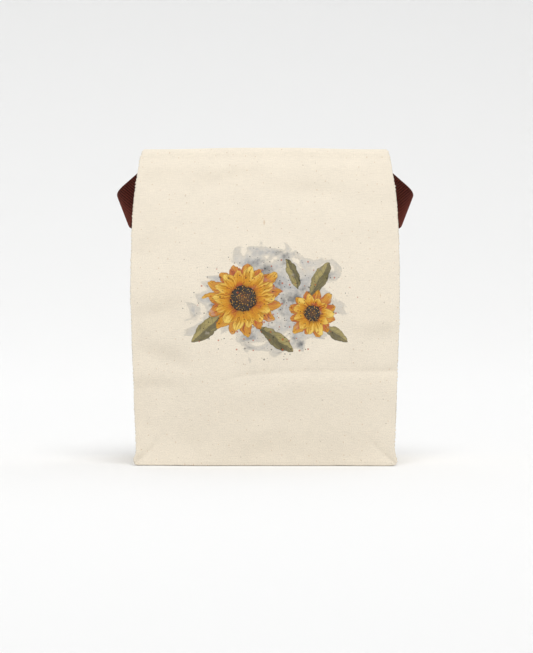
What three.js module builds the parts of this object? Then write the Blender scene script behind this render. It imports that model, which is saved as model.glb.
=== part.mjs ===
// A canvas lunch bag built like a paper sack: front and back panels, two pleated side gussets and a
// flat base. The top is folded over to the back, and a webbing strap that is sewn into both pleats
// loops round the back of the fold and fastens on a plain ring.
// Millimetres, +Z up. The front faces -Y, and the origin is on the floor under the middle of the base.
import * as THREE from "three";

// Cloth
const CANVAS = 1.2; // thickness of the canvas
const GAP = 0.4; // clear space between neighbouring layers
const LAYER = CANVAS + GAP; // from the middle of one layer to the middle of the next
const INNER = LAYER / 2; // where four layers lie flat: the inner two from the middle of the stack
const OUTER = INNER + LAYER; // and the outer two
const SEAM_RIDGE = 2; // how far a panel's pinched edge stands out past the gusset

// The fold at the top, followed by the line midway between the front and back panels
const RISE = 249.5; // height at which the panels start to fold over
const FOLD_RADIUS = 5;
const FLAP_LEAN = THREE.MathUtils.degToRad(22); // the flap's slope, away from straight down
const FLAP_LENGTH = 70; // from the end of the fold to the hem
const FOLD_ARC = FOLD_RADIUS * (Math.PI - FLAP_LEAN);
const FOLD_TOP = RISE + FOLD_ARC / 2;
const FOLD_END = RISE + FOLD_ARC;
const HEM = FOLD_END + FLAP_LENGTH;

// Base
const BASE_HALF_WIDTH = 103.4;
const BASE_HALF_DEPTH = 72;
const BASE_CORNER = 4;
const WALL_FOOT = CANVAS + GAP; // the walls stand just clear of the base
const FLARE_TOP = 10; // the walls flare out to the base below this height
const SHOULDER = 210; // and close in towards the fold above this one

// Strap
const STRAP_WIDTH = 27;
const STRAP_THICKNESS = 1.6;
const STRAP_TILT = THREE.MathUtils.degToRad(19.5); // lean of the line on which the strap turns back
const TURN_RADIUS = 8;
const TURN_REACH = 109.4; // from the bag's middle to where the strap starts to turn
const STRAP_HEIGHT = 206.4; // height of the strap's middle across the back
const SEWN_LENGTH = 14; // what runs on into the pleat after the turn
const TURN_ARC = Math.PI * TURN_RADIUS;
const TURN_SHIFT = STRAP_WIDTH * Math.tan(STRAP_TILT); // of the turn, from edge to edge of the strap

// Ring that joins the two halves of the strap
const BAR = 3; // width and depth of the ring's bars
const BAR_OFFSET = 7; // from the bag's middle to each upright bar
const RAIL_OFFSET = STRAP_WIDTH / 2 + 2.4;
const RING_CORNER = 2.4;
const RING_BEVEL = 0.5;
const BAR_LOOP = BAR / 2 + GAP + STRAP_THICKNESS / 2; // radius of the strap's loop round a bar
const TAIL_LIFT = STRAP_THICKNESS + 2 * GAP; // height of a folded-back end above the strap
const TAIL_SETTLE = 14; // length over which a folded-back end comes down to that height
const LEFT_TAIL = 22; // sewn-down end
const RIGHT_TAIL = 46; // free end

// The walls by distance along the fold line, from the floor over the top to the hem:
//   front, back  from the fold line to the middle of each panel's cloth
//   halfWidth    of both panels
//   crown        how far the panels' side edges lie behind their middle
//   pleat        how deep the gussets fold inward
//   crease       radius of the gussets' inner fold
//   bow          2 for a gusset that curves softly, 1 for one that folds sharply
const WALLS = [
  { along: WALL_FOOT, front: 70, back: 70, halfWidth: 102.8, crown: 0, pleat: 0, crease: 8, bow: 2 },
  { along: FLARE_TOP, front: 65.8, back: 68, halfWidth: 101.8, crown: 0.4, pleat: 2, crease: 8, bow: 2 },
  { along: 34, front: 66.8, back: 66, halfWidth: 102.4, crown: 1.6, pleat: 7, crease: 8, bow: 2 },
  { along: 76, front: 69.4, back: 61, halfWidth: 103.8, crown: 4, pleat: 15, crease: 7, bow: 1.8 },
  { along: 120, front: 63.4, back: 52, halfWidth: 105.6, crown: 5.4, pleat: 29, crease: 5, bow: 1.6 },
  { along: 160, front: 52, back: 40, halfWidth: 106.4, crown: 5, pleat: 45, crease: 3.4, bow: 1.4 },
  { along: 195, front: 34.4, back: 26, halfWidth: 106.2, crown: 3.2, pleat: 57, crease: 2, bow: 1.2 },
  { along: 222, front: 17.2, back: 14.4, halfWidth: 105, crown: 1.4, pleat: 64, crease: 1.2, bow: 1.05 },
  { along: 238, front: 8, back: 7.6, halfWidth: 103.6, crown: 0.5, pleat: 67.5, crease: INNER, bow: 1 },
  { along: RISE, front: OUTER, back: OUTER, halfWidth: 102.2, crown: 0, pleat: 69, crease: INNER, bow: 1 },
  { along: FOLD_TOP, front: OUTER, back: OUTER, halfWidth: 100, crown: 0, pleat: 69, crease: INNER, bow: 1 },
  { along: FOLD_END, front: OUTER, back: OUTER, halfWidth: 101.6, crown: 0, pleat: 69, crease: INNER, bow: 1 },
  { along: HEM, front: OUTER, back: OUTER, halfWidth: 103.4, crown: 0, pleat: 69, crease: INNER, bow: 1 },
];

// Soft folds of the front panel: middle, half length and half width of each, its tilt in degrees,
// and how far it stands out of the panel (negative for a dent)
const CREASE_BAND = [58, 90]; // heights between which the packing crease runs
const FRONT_FOLDS = [
  { x: 36, z: 74, length: 66, width: 5, tilt: 2, height: -1.3 }, // packing crease
  { x: -96, z: 74, length: 16, width: 5, tilt: 0, height: -1.1 }, // its left end
  { x: -77, z: 84, length: 24, width: 8, tilt: -25, height: -1.7 },
  { x: -36, z: 227, length: 30, width: 8, tilt: 14, height: -1.5 },
  { x: 45, z: 218, length: 34, width: 8, tilt: -4, height: -1.5 },
  { x: -87, z: 170, length: 26, width: 9, tilt: 22, height: -1.1 },
  { x: -88, z: 125, length: 26, width: 9, tilt: 22, height: -1.2 },
  { x: 85, z: 118, length: 26, width: 9, tilt: 5, height: 1.3 },
  { x: 52, z: 17, length: 38, width: 9, tilt: 3, height: -1.5 },
  { x: -16, z: 12, length: 22, width: 7, tilt: 20, height: -1.2 },
];

// Finishes
const CLOTH = { color: 0xede1ca, roughness: 0.95, metalness: 0 };
const WEBBING = { color: 0x502a24, roughness: 0.85, metalness: 0 };
const STEEL = { color: 0xb9b6b0, roughness: 0.35, metalness: 1 };

const WALL_COLUMNS = ["front", "back", "halfWidth", "crown", "pleat", "crease", "bow"];
const wallCurve = new THREE.CubicInterpolant(
  WALLS.map((row) => row.along),
  WALLS.flatMap((row) => WALL_COLUMNS.map((column) => row[column])),
  WALL_COLUMNS.length,
);

// The row of WALLS at any distance along the fold line
function wallAt(along) {
  const values = wallCurve.evaluate(along);
  return Object.fromEntries(WALL_COLUMNS.map((column, i) => [column, values[i]]));
}

// The fold line at a distance along it: its place, and the direction that points out of the front panel
function foldLine(along) {
  if (along <= RISE) return { y: 0, z: along, outY: -1, outZ: 0 };
  const turn = Math.min(along - RISE, FOLD_ARC) / FOLD_RADIUS;
  const past = Math.max(along - FOLD_END, 0);
  return {
    y: FOLD_RADIUS * (1 - Math.cos(turn)) + past * Math.sin(FLAP_LEAN),
    z: RISE + FOLD_RADIUS * Math.sin(turn) - past * Math.cos(FLAP_LEAN),
    outY: -Math.cos(turn),
    outZ: Math.sin(turn),
  };
}

// A point at x, a distance out of the fold line on the front panel's side, and a distance along it
function place(x, out, along) {
  const line = foldLine(along);
  return new THREE.Vector3(x, line.y + out * line.outY, line.z + out * line.outZ);
}

// How far the soft folds lift the front panel at a point
function foldRelief(x, z) {
  return FRONT_FOLDS.reduce((sum, fold) => {
    const tilt = THREE.MathUtils.degToRad(fold.tilt);
    const [dx, dz] = [x - fold.x, z - fold.z];
    const onLength = (dx * Math.cos(tilt) + dz * Math.sin(tilt)) / fold.length;
    const onWidth = (dz * Math.cos(tilt) - dx * Math.sin(tilt)) / fold.width;
    return sum + fold.height * Math.exp(-onLength * onLength - onWidth * onWidth);
  }, 0);
}

function frontPoint(u, along) {
  const wall = wallAt(along);
  const x = u * wall.halfWidth;
  const relief = along < RISE ? foldRelief(x, along) : 0;
  return place(x, wall.front - wall.crown * u * u + relief, along);
}

function backPoint(u, along) {
  const wall = wallAt(along);
  return place(u * wall.halfWidth, wall.crown * u * u - wall.back, along);
}

// A gusset's section runs from the front seam in along one leg of the pleat, round the inner fold and
// out along the other leg to the back seam. A stop is a share of the leg, or an angle round the fold.
const LEG_SHARES = [1, 0.8, 0.6, 0.4, 0.2, 0];
const GUSSET_STOPS = [
  ...LEG_SHARES.map((share) => ({ leg: 1, share })),
  ...[45, 90, 135].map((angle) => ({ angle: THREE.MathUtils.degToRad(angle) })),
  ...LEG_SHARES.toReversed().map((share) => ({ leg: -1, share })),
];

function gussetPoint(side, stop, along) {
  const wall = wallAt(along);
  const seamX = wall.halfWidth - SEAM_RIDGE;
  if (stop.angle) {
    const tip = wall.crease * (2 - wall.bow) * Math.sin(stop.angle);
    return place(side * (seamX - wall.pleat - tip), wall.crease * Math.cos(stop.angle), along);
  }
  const seam = (stop.leg > 0 ? wall.front : wall.back) - wall.crown - LAYER;
  const x = seamX - wall.pleat * (1 - stop.share ** wall.bow);
  return place(side * x, stop.leg * (wall.crease + (seam - wall.crease) * stop.share), along);
}

// The faces that the strap lies on: the flap behind the bag, and the back leg of the pleat
function strapOnFlap(z) {
  const end = foldLine(FOLD_END);
  const lift = OUTER + CANVAS / 2 + GAP + STRAP_THICKNESS / 2;
  const [y0, z0] = [end.y + lift * end.outY, end.z + lift * end.outZ];
  return y0 + (z0 - z) * Math.tan(FLAP_LEAN);
}

function strapInPleat(reach, z) {
  const wall = wallAt(Math.min(z, RISE));
  const onLeg = Math.max(1 - (wall.halfWidth - SEAM_RIDGE - reach) / wall.pleat, 0);
  const share = onLeg ** (1 / wall.bow);
  const leg = wall.crease + (wall.back - wall.crown - LAYER - wall.crease) * share;
  const clear = (CANVAS + STRAP_THICKNESS) / 2 + GAP;
  return leg - clear / Math.cos(FLAP_LEAN);
}

// The strap as a flat strip, wrapped round a slanting edge. Along is measured from where the turn
// starts, towards the pleat, and across is measured down from the strap's middle.
function strapPoint(side, along, across) {
  const toBar = TURN_REACH - BAR_OFFSET;
  if (along < -toBar) return tailPoint(side, -along - toBar, across);
  const [cos, sin] = [Math.cos(STRAP_TILT), Math.sin(STRAP_TILT)];
  const round = along * cos + across * sin;
  const down = across * cos - along * sin;
  const turn = THREE.MathUtils.clamp(round / TURN_RADIUS, 0, Math.PI);
  const straight = round < 0 ? round : Math.min(TURN_ARC - round, 0);
  const outward = straight + TURN_RADIUS * Math.sin(turn);
  const inPleat = (1 - Math.cos(turn)) / 2;
  const reach = TURN_REACH + outward * cos - down * sin;
  const squeeze = THREE.MathUtils.lerp(Math.cos(FLAP_LEAN), 1, inPleat);
  const z = STRAP_HEIGHT - (outward * sin + down * cos) * squeeze;
  const y = THREE.MathUtils.lerp(strapOnFlap(z), strapInPleat(reach, z), inPleat);
  return new THREE.Vector3(side * reach, y, z);
}

// The strap's end where it loops round the ring's bar and lies back on itself
function tailPoint(side, past, across) {
  const turn = Math.min(past / BAR_LOOP, Math.PI);
  const back = Math.max(past - Math.PI * BAR_LOOP, 0);
  const settled = THREE.MathUtils.smoothstep(back, 0, TAIL_SETTLE);
  const lift = BAR_LOOP * (1 - Math.cos(turn)) - (2 * BAR_LOOP - TAIL_LIFT) * settled;
  const z = STRAP_HEIGHT - across * Math.cos(FLAP_LEAN);
  return new THREE.Vector3(
    side * (BAR_OFFSET - BAR_LOOP * Math.sin(turn) + back),
    strapOnFlap(z) + lift * Math.cos(FLAP_LEAN),
    z + lift * Math.sin(FLAP_LEAN),
  );
}

// A closed solid of even thickness round a grid of points, rows[i][j]
function thickSheet(rows, thickness) {
  const [last, width] = [rows.length - 1, rows[0].length];
  const normalAt = (i, j) => {
    const alongRows = rows[Math.min(i + 1, last)][j].clone().sub(rows[Math.max(i - 1, 0)][j]);
    const alongRow = rows[i][Math.min(j + 1, width - 1)].clone().sub(rows[i][Math.max(j - 1, 0)]);
    return alongRow.cross(alongRows).setLength(thickness / 2);
  };
  const normals = rows.map((row, i) => row.map((_, j) => normalAt(i, j)));
  const faces = [1, -1].map((face) =>
    rows.flatMap((row, i) => row.map((point, j) => point.clone().addScaledVector(normals[i][j], face))),
  );
  const indices = [];
  const quad = (a, b, c, d) => indices.push(a, b, c, a, c, d);
  const top = (i, j) => i * width + j;
  const under = (i, j) => rows.length * width + top(i, j);
  for (let i = 0; i < last; i++) {
    for (let j = 0; j < width - 1; j++) {
      quad(top(i, j), top(i, j + 1), top(i + 1, j + 1), top(i + 1, j));
      quad(under(i, j), under(i + 1, j), under(i + 1, j + 1), under(i, j + 1));
    }
    quad(top(i, 0), top(i + 1, 0), under(i + 1, 0), under(i, 0));
    quad(top(i + 1, width - 1), top(i, width - 1), under(i, width - 1), under(i + 1, width - 1));
  }
  for (let j = 0; j < width - 1; j++) {
    quad(top(0, j + 1), top(0, j), under(0, j), under(0, j + 1));
    quad(top(last, j), top(last, j + 1), under(last, j + 1), under(last, j));
  }
  return new THREE.BufferGeometry().setFromPoints(faces.flat()).setIndex(indices);
}

// Stations along one or more stretches, each given as a start, an end and a number of steps
function steps(...stretches) {
  const at = stretches.flatMap(([from, to, count]) =>
    Array.from({ length: count }, (_, i) => THREE.MathUtils.lerp(from, to, i / count)),
  );
  return [...at, stretches.at(-1)[1]];
}

const ACROSS_FRONT = steps([-1, 1, 16]);
const ACROSS_BACK = steps([-1, 1, 10]);
const ACROSS_STRAP = steps([STRAP_WIDTH / 2, -STRAP_WIDTH / 2, 6]);
const FOOT = [WALL_FOOT, FLARE_TOP, 1];
const OVER_THE_TOP = [
  [SHOULDER, RISE, 4],
  [RISE, FOLD_END, 8],
  [FOLD_END, HEM, 4],
];
const [CREASE_LOW, CREASE_HIGH] = CREASE_BAND;
const UP_FRONT = steps(
  FOOT,
  [FLARE_TOP, CREASE_LOW, 4],
  [CREASE_LOW, CREASE_HIGH, 8],
  [CREASE_HIGH, SHOULDER, 9],
  ...OVER_THE_TOP,
);
const UP_BACK = steps(FOOT, [FLARE_TOP, SHOULDER, 12], ...OVER_THE_TOP);

function frontPanel() {
  return thickSheet(UP_FRONT.map((along) => ACROSS_FRONT.map((u) => frontPoint(u, along))), CANVAS);
}

function backPanel() {
  return thickSheet(UP_BACK.map((along) => ACROSS_BACK.map((u) => backPoint(-u, along))), CANVAS);
}

function gusset(side) {
  const stops = side > 0 ? GUSSET_STOPS : GUSSET_STOPS.toReversed();
  return thickSheet(UP_BACK.map((along) => stops.map((stop) => gussetPoint(side, stop, along))), CANVAS);
}

function strap(side, tail) {
  const bar = BAR_OFFSET - TURN_REACH;
  const loop = bar - Math.PI * BAR_LOOP;
  const turnStart = -TURN_SHIFT;
  const turnEnd = TURN_ARC / Math.cos(STRAP_TILT) + TURN_SHIFT;
  const alongs = steps(
    [loop - tail, loop - TAIL_SETTLE, 2],
    [loop - TAIL_SETTLE, loop, 4],
    [loop, bar, 8],
    [bar, turnStart, 3],
    [turnStart, turnEnd, 24],
    [turnEnd, turnEnd + SEWN_LENGTH, 5],
  );
  const across = side > 0 ? ACROSS_STRAP : ACROSS_STRAP.toReversed();
  return thickSheet(alongs.map((along) => across.map((q) => strapPoint(side, along, q))), STRAP_THICKNESS);
}

function roundedRectangle(path, halfWidth, halfHeight, corner) {
  const [x, y] = [halfWidth - corner, halfHeight - corner];
  path.absarc(x, y, corner, 0, Math.PI / 2);
  path.absarc(-x, y, corner, Math.PI / 2, Math.PI);
  path.absarc(-x, -y, corner, Math.PI, 1.5 * Math.PI);
  path.absarc(x, -y, corner, 1.5 * Math.PI, 2 * Math.PI);
  path.closePath();
  return path;
}

function basePanel() {
  const outline = roundedRectangle(new THREE.Shape(), BASE_HALF_WIDTH, BASE_HALF_DEPTH, BASE_CORNER);
  return new THREE.ExtrudeGeometry(outline, { depth: CANVAS, bevelEnabled: false, curveSegments: 4 });
}

function ring() {
  const edge = { bevelSize: RING_BEVEL, bevelThickness: RING_BEVEL, bevelOffset: -RING_BEVEL };
  const outer = [BAR_OFFSET + BAR / 2, RAIL_OFFSET + BAR / 2];
  const inner = [BAR_OFFSET - BAR / 2, RAIL_OFFSET - BAR / 2];
  const outline = roundedRectangle(new THREE.Shape(), ...outer, RING_CORNER);
  outline.holes.push(roundedRectangle(new THREE.Path(), ...inner, RING_CORNER / 2));
  const depth = BAR - 2 * RING_BEVEL;
  const made = new THREE.ExtrudeGeometry(outline, { depth, ...edge, bevelSegments: 1, curveSegments: 3 });
  return made.translate(0, 0, -depth / 2);
}

const bag = new THREE.Group();

function add(name, geometry, finish) {
  const mesh = new THREE.Mesh(geometry, new THREE.MeshStandardMaterial(finish));
  mesh.name = name;
  bag.add(mesh);
  return mesh;
}

add("base_panel", basePanel(), CLOTH);
add("front_panel", frontPanel(), CLOTH);
add("back_panel", backPanel(), CLOTH);
add("left_gusset", gusset(-1), CLOTH);
add("right_gusset", gusset(1), CLOTH);
add("left_strap", strap(-1, LEFT_TAIL), WEBBING);
add("right_strap", strap(1, RIGHT_TAIL), WEBBING);

const strapRing = add("strap_ring", ring(), STEEL);
strapRing.rotation.x = Math.PI / 2 + FLAP_LEAN;
strapRing.position.set(
  0,
  strapOnFlap(STRAP_HEIGHT) + BAR_LOOP * Math.cos(FLAP_LEAN),
  STRAP_HEIGHT + BAR_LOOP * Math.sin(FLAP_LEAN),
);

export default bag;
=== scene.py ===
"""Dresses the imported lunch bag: canvas panels with folds, seams and a print, ribbed webbing and a steel ring.

Sizes here are millimetres in the bag's own frame, +Z up and the front facing -Y. They become metres only
where a mesh, a lamp or the camera is made.
"""
import logging
import math
from collections.abc import Sequence
from dataclasses import dataclass
from enum import Enum

import bpy
import numpy as np
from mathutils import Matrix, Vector, noise


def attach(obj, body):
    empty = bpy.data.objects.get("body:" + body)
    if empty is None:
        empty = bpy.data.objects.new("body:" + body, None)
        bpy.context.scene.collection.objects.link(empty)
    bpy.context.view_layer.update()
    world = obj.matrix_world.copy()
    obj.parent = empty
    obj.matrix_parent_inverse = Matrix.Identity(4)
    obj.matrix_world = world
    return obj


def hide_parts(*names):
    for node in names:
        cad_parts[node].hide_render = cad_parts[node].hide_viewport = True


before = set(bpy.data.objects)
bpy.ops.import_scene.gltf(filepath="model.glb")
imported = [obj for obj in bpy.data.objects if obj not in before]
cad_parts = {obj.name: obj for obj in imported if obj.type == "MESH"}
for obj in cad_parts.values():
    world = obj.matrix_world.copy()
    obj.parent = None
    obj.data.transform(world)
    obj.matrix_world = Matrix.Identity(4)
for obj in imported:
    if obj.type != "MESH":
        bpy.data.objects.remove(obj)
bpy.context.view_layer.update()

LOG = logging.getLogger("lunch_bag")
MM = 0.001
BODY = "root"
BAKE_MAP = "OFBake"
CLOTH = "cloth"
SEED_SHIFT = (17, 31)

# Where each piece is cut from one long bolt of canvas, so that no two show the same yarns and flecks
BACK_CLOTH = 400.0
SIDE_CLOTH = 800.0
SIDES_APART = 200.0
BASE_CLOTH = 1600.0

Array = np.ndarray
Socket = bpy.types.NodeSocket
Colour = tuple[float, float, float]

# The values between which something eases from 0 to 1, and the middle and spread of a smooth hump
Ramp = tuple[float, float]
Hump = tuple[float, float]


class Side(Enum):
    """A side of the bag seen from the front. The value is the sign of X there."""

    LEFT = -1
    RIGHT = 1

    @property
    def word(self) -> str:
        """The side's name as the nodes spell it."""
        return self.name.lower()


class Slot(Enum):
    """The record's material slots."""

    CANVAS = "canvas"
    WEBBING = "webbing"
    RING = "ring_steel"


class Held(Enum):
    """How a panel's cloth is held in the finished bag."""

    FOLDED = "folded"
    STRETCHED = "stretched"


def smooth(value: Array, low: float, high: float) -> Array:
    """Eases from 0 where the value is low to 1 where it is high."""
    share = np.clip((value - low) / (high - low), 0.0, 1.0)
    return share * share * (3.0 - 2.0 * share)


def bell(value: Array, middle: float, spread: float) -> Array:
    """A smooth hump of height 1 round a middle value."""
    return np.exp(-(((value - middle) / spread) ** 2))


def crumple(across: Array, along: Array, size: float, seed: float) -> Array:
    """Soft irregular waviness of slack cloth.

    Args:
        across: Cloth coordinate across the panel.
        along: Cloth coordinate along the panel.
        size: Typical width of a wave.
        seed: Which of many such surfaces to take.

    Returns:
        Heights from about -1 to 1, in the shape of the coordinates.
    """
    flat = zip(across.ravel() / size, along.ravel() / size)
    heights = [noise.noise(Vector((a, b, seed))) for a, b in flat]
    return np.array(heights).reshape(across.shape)


def stations(*stretches: tuple[float, float, float]) -> Array:
    """Places along one or more stretches.

    Args:
        stretches: Start, end and largest step of each stretch.

    Returns:
        All places in order, ends included.
    """
    places = []
    for start, end, step in stretches:
        count = max(1, math.ceil(abs(end - start) / step))
        places.append(np.linspace(start, end, count, endpoint=False))
    return np.append(np.concatenate(places), stretches[-1][1])


@dataclass(frozen=True)
class WallRow:
    """The bag's walls at one distance along the fold line, from the floor over the top to the hem.

    front and back run from the fold line to the middle of each panel's cloth. crown is how far a panel's
    side edges lie behind its middle, pleat how deep the gussets fold in, crease the radius of their inner
    fold, and bow is 2 where a gusset curves softly and 1 where it folds sharply.
    """

    along: float
    front: float
    back: float
    half_width: float
    crown: float
    pleat: float
    crease: float
    bow: float


@dataclass(frozen=True)
class Fold:
    """A soft fold of a panel.

    x and z are its middle and length is half its length. above and below are the widths of its two flanks,
    tilt is its slope in degrees, and height is how far it stands out, negative for a dent.
    """

    x: float
    z: float
    length: float
    above: float
    below: float
    tilt: float
    height: float

    def relief(self, x: Array, z: Array) -> Array:
        """How far the fold lifts the panel.

        Args:
            x: Places across the panel.
            z: Places up the panel.

        Returns:
            The lift at each place, negative in a dent.
        """
        turn = math.radians(self.tilt)
        dx, dz = x - self.x, z - self.z
        on_length = (dx * math.cos(turn) + dz * math.sin(turn)) / self.length
        on_width = dz * math.cos(turn) - dx * math.sin(turn)
        on_width = on_width / np.where(on_width > 0, self.above, self.below)
        return self.height * np.exp(-(on_length**2) - on_width**2)


@dataclass(frozen=True)
class Wave:
    """One layer of slackness: the size and height of its waves, which ones they are, and a stretch along."""

    size: float
    height: float
    seed: float
    stretch: float = 1.0

    def relief(self, across: Array, along: Array, seed: float = 0.0) -> Array:
        """How far the layer lifts a piece that has a seed of its own."""
        return self.height * crumple(across, self.stretch * along, self.size, seed + self.seed)


@dataclass(frozen=True)
class Sack:
    """The bag's form: the fold line that its layers follow, and its walls along that line.

    The top sags towards its corners. The three ramps are where that shows below the top fold, down the flap
    and across.
    """

    canvas: float = 1.2
    gap: float = 0.4
    seam_ridge: float = 2.0
    rise: float = 249.5
    fold_radius: float = 5.0
    flap_lean: float = math.radians(22)
    flap_length: float = 70.0
    flat_pleat: float = 69.0
    base_half_width: float = 103.4
    base_half_depth: float = 72.0
    base_corner: float = 4.0
    top_sag: float = 1.2
    sag_rise: Ramp = (-34.0, 4.0)
    sag_fall: Ramp = (36.0, 4.0)
    sag_across: Ramp = (20.0, 84.0)

    @property
    def layer(self) -> float:
        """From the middle of one layer of canvas to the middle of the next."""
        return self.canvas + self.gap

    @property
    def inner(self) -> float:
        """Where four layers lie flat, the inner two from the middle of the stack."""
        return self.layer / 2

    @property
    def outer(self) -> float:
        """Where four layers lie flat, the outer two from the middle of the stack."""
        return self.inner + self.layer

    @property
    def foot(self) -> float:
        """Height of the solid walls' lower edge, just clear of the base."""
        return self.layer

    @property
    def sewn_foot(self) -> float:
        """Height of the sewn walls' lower edge, whose rounded rim touches the floor."""
        return 0.6 * self.canvas

    @property
    def fold_arc(self) -> float:
        """Length of the fold line round the top."""
        return self.fold_radius * (math.pi - self.flap_lean)

    @property
    def fold_end(self) -> float:
        """Distance along the fold line where the flap starts."""
        return self.rise + self.fold_arc

    @property
    def hem(self) -> float:
        """Distance along the fold line of the flap's edge."""
        return self.fold_end + self.flap_length

    def rows(self) -> list[WallRow]:
        """The walls at each station.

        Returns:
            Rows in order from the floor over the top to the hem.
        """
        flat = {"front": self.outer, "back": self.outer, "crown": 0, "bow": 1}
        flat |= {"pleat": self.flat_pleat, "crease": self.inner}
        return [
            WallRow(self.foot, 70, 70, 102.8, 0, 0, 8, 2),
            WallRow(10, 65.8, 68, 101.8, 0.4, 2, 8, 2),
            WallRow(34, 66.8, 66, 102.4, 1.6, 7, 8, 2),
            WallRow(76, 69.4, 61, 103.8, 4, 15, 7, 1.8),
            WallRow(120, 63.4, 52, 105.6, 5.4, 29, 5, 1.6),
            WallRow(160, 52, 40, 106.4, 5, 45, 3.4, 1.4),
            WallRow(195, 34.4, 26, 106.2, 3.2, 57, 2, 1.2),
            WallRow(222, 17.2, 14.4, 105, 1.4, 64, 1.2, 1.05),
            WallRow(238, 8, 7.6, 103.2, 0.5, 67.5, self.inner, 1),
            WallRow(self.rise, half_width=101.9, **flat),
            WallRow(self.rise + self.fold_arc / 2, half_width=99.4, **flat),
            WallRow(self.fold_end, half_width=101, **flat),
            WallRow(self.hem, half_width=103.4, **flat),
        ]

    def wall(self, along: Array) -> WallRow:
        """The walls at any distance along the fold line.

        Args:
            along: Distances along the fold line.

        Returns:
            A row whose columns are arrays in the shape of along.
        """
        rows = self.rows()
        at = np.array([row.along for row in rows])
        low = np.clip(np.searchsorted(at, along) - 1, 0, len(at) - 2)
        step = at[low + 1] - at[low]
        p = (along - at[low]) / step
        columns = {}
        for name in ("front", "back", "half_width", "crown", "pleat", "crease", "bow"):
            value = np.array([getattr(row, name) for row in rows], float)
            slope = np.diff(value) / np.diff(at)
            tangent = np.concatenate([slope[:1], (slope[:-1] + slope[1:]) / 2, slope[-1:]])
            start = (1 + 2 * p) * (1 - p) ** 2 * value[low] + p * (1 - p) ** 2 * step * tangent[low]
            end = p**2 * (3 - 2 * p) * value[low + 1] + p**2 * (p - 1) * step * tangent[low + 1]
            columns[name] = start + end
        return WallRow(along=along, **columns)

    def place(self, x: Array, out: Array, along: Array) -> Array:
        """Points off the fold line.

        Args:
            x: Places across the bag.
            out: Distances out of the fold line, positive on the front panel's side.
            along: Distances along the fold line.

        Returns:
            Points with a last axis of x, y and z.
        """
        turn = np.clip(along - self.rise, 0, self.fold_arc) / self.fold_radius
        past = np.maximum(along - self.fold_end, 0)
        y = self.fold_radius * (1 - np.cos(turn)) + past * math.sin(self.flap_lean)
        z = np.minimum(along, self.rise) + self.fold_radius * np.sin(turn) - past * math.cos(self.flap_lean)
        at_top = smooth(along - self.rise, *self.sag_rise) * smooth(past, *self.sag_fall)
        z = z - self.top_sag * at_top * smooth(np.abs(x), *self.sag_across)
        return np.stack([x + 0 * y, y - out * np.cos(turn), z + out * np.sin(turn)], axis=-1)

    def flap_face(self, z: Array, clear: float) -> Array:
        """The Y of a plane that lies behind the flap.

        Args:
            z: Heights.
            clear: How far the plane is from the middle of the flap's outer cloth.

        Returns:
            The plane's Y at each height.
        """
        lift = self.outer + clear
        end = self.place(np.zeros(1), np.full(1, lift), np.full(1, self.fold_end))[0]
        return end[1] + (end[2] - z) * math.tan(self.flap_lean)

    def pleat_face(self, reach: Array, z: Array, clear: float) -> Array:
        """The Y of a surface that lies in front of the pleat's back leg.

        Args:
            reach: Distances from the bag's middle.
            z: Heights.
            clear: How far the surface is from the middle of the leg's cloth.

        Returns:
            The surface's Y at each place.
        """
        wall = self.wall(np.minimum(z, self.rise))
        on_leg = np.maximum(1 - (wall.half_width - self.seam_ridge - reach) / wall.pleat, 0)
        seam = wall.back - wall.crown - self.layer
        leg = wall.crease + (seam - wall.crease) * on_leg ** (1 / wall.bow)
        return leg - clear / math.cos(self.flap_lean)


def unit(vectors: Array) -> Array:
    """Vectors of length 1 in the same directions."""
    return vectors / np.maximum(np.linalg.norm(vectors, axis=-1, keepdims=True), 1e-12)


def grid_normals(points: Array) -> Array:
    """Unit normals of a grid of points, out of the side on which columns turn anticlockwise to rows."""
    return unit(np.cross(np.gradient(points, axis=1), np.gradient(points, axis=0)))


def tube_faces(rings: int, sides: int, closed: bool = False) -> Array:
    """Faces between the rings of a tube.

    Args:
        rings: How many rings it has.
        sides: How many points each ring has.
        closed: Whether the last ring meets the first.

    Returns:
        Four vertex numbers for each face.
    """
    ring, side = np.indices((rings if closed else rings - 1, sides))
    next_ring, next_side = (ring + 1) % rings, (side + 1) % sides
    corners = [(ring, side), (ring, next_side), (next_ring, next_side), (next_ring, side)]
    return np.stack([(r * sides + s).ravel() for r, s in corners], axis=1)


def mesh_object(name: str, points: Array, faces: Sequence[Sequence[int]]) -> bpy.types.Object:
    """Makes a smooth mesh object.

    Args:
        name: The object's name.
        points: Its vertices.
        faces: Vertex numbers of each face.

    Returns:
        The new object, linked to the scene.
    """
    mesh = bpy.data.meshes.new(name)
    mesh.from_pydata((points * MM).tolist(), [], faces)
    mesh.polygons.foreach_set("use_smooth", np.ones(len(mesh.polygons), bool))
    mesh.validate()
    made = bpy.data.objects.new(name, mesh)
    bpy.context.scene.collection.objects.link(made)
    return made


def joined(name: str, parts: Sequence[tuple[Array, Array]]) -> bpy.types.Object:
    """Makes one mesh object of several loose shapes.

    Args:
        name: The object's name.
        parts: Vertices and faces of each shape.

    Returns:
        The new object.
    """
    starts = np.cumsum([0] + [len(points) for points, _ in parts])
    faces = np.concatenate([part[1] + start for part, start in zip(parts, starts)])
    return mesh_object(name, np.concatenate([points for points, _ in parts]), faces.tolist())


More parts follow.
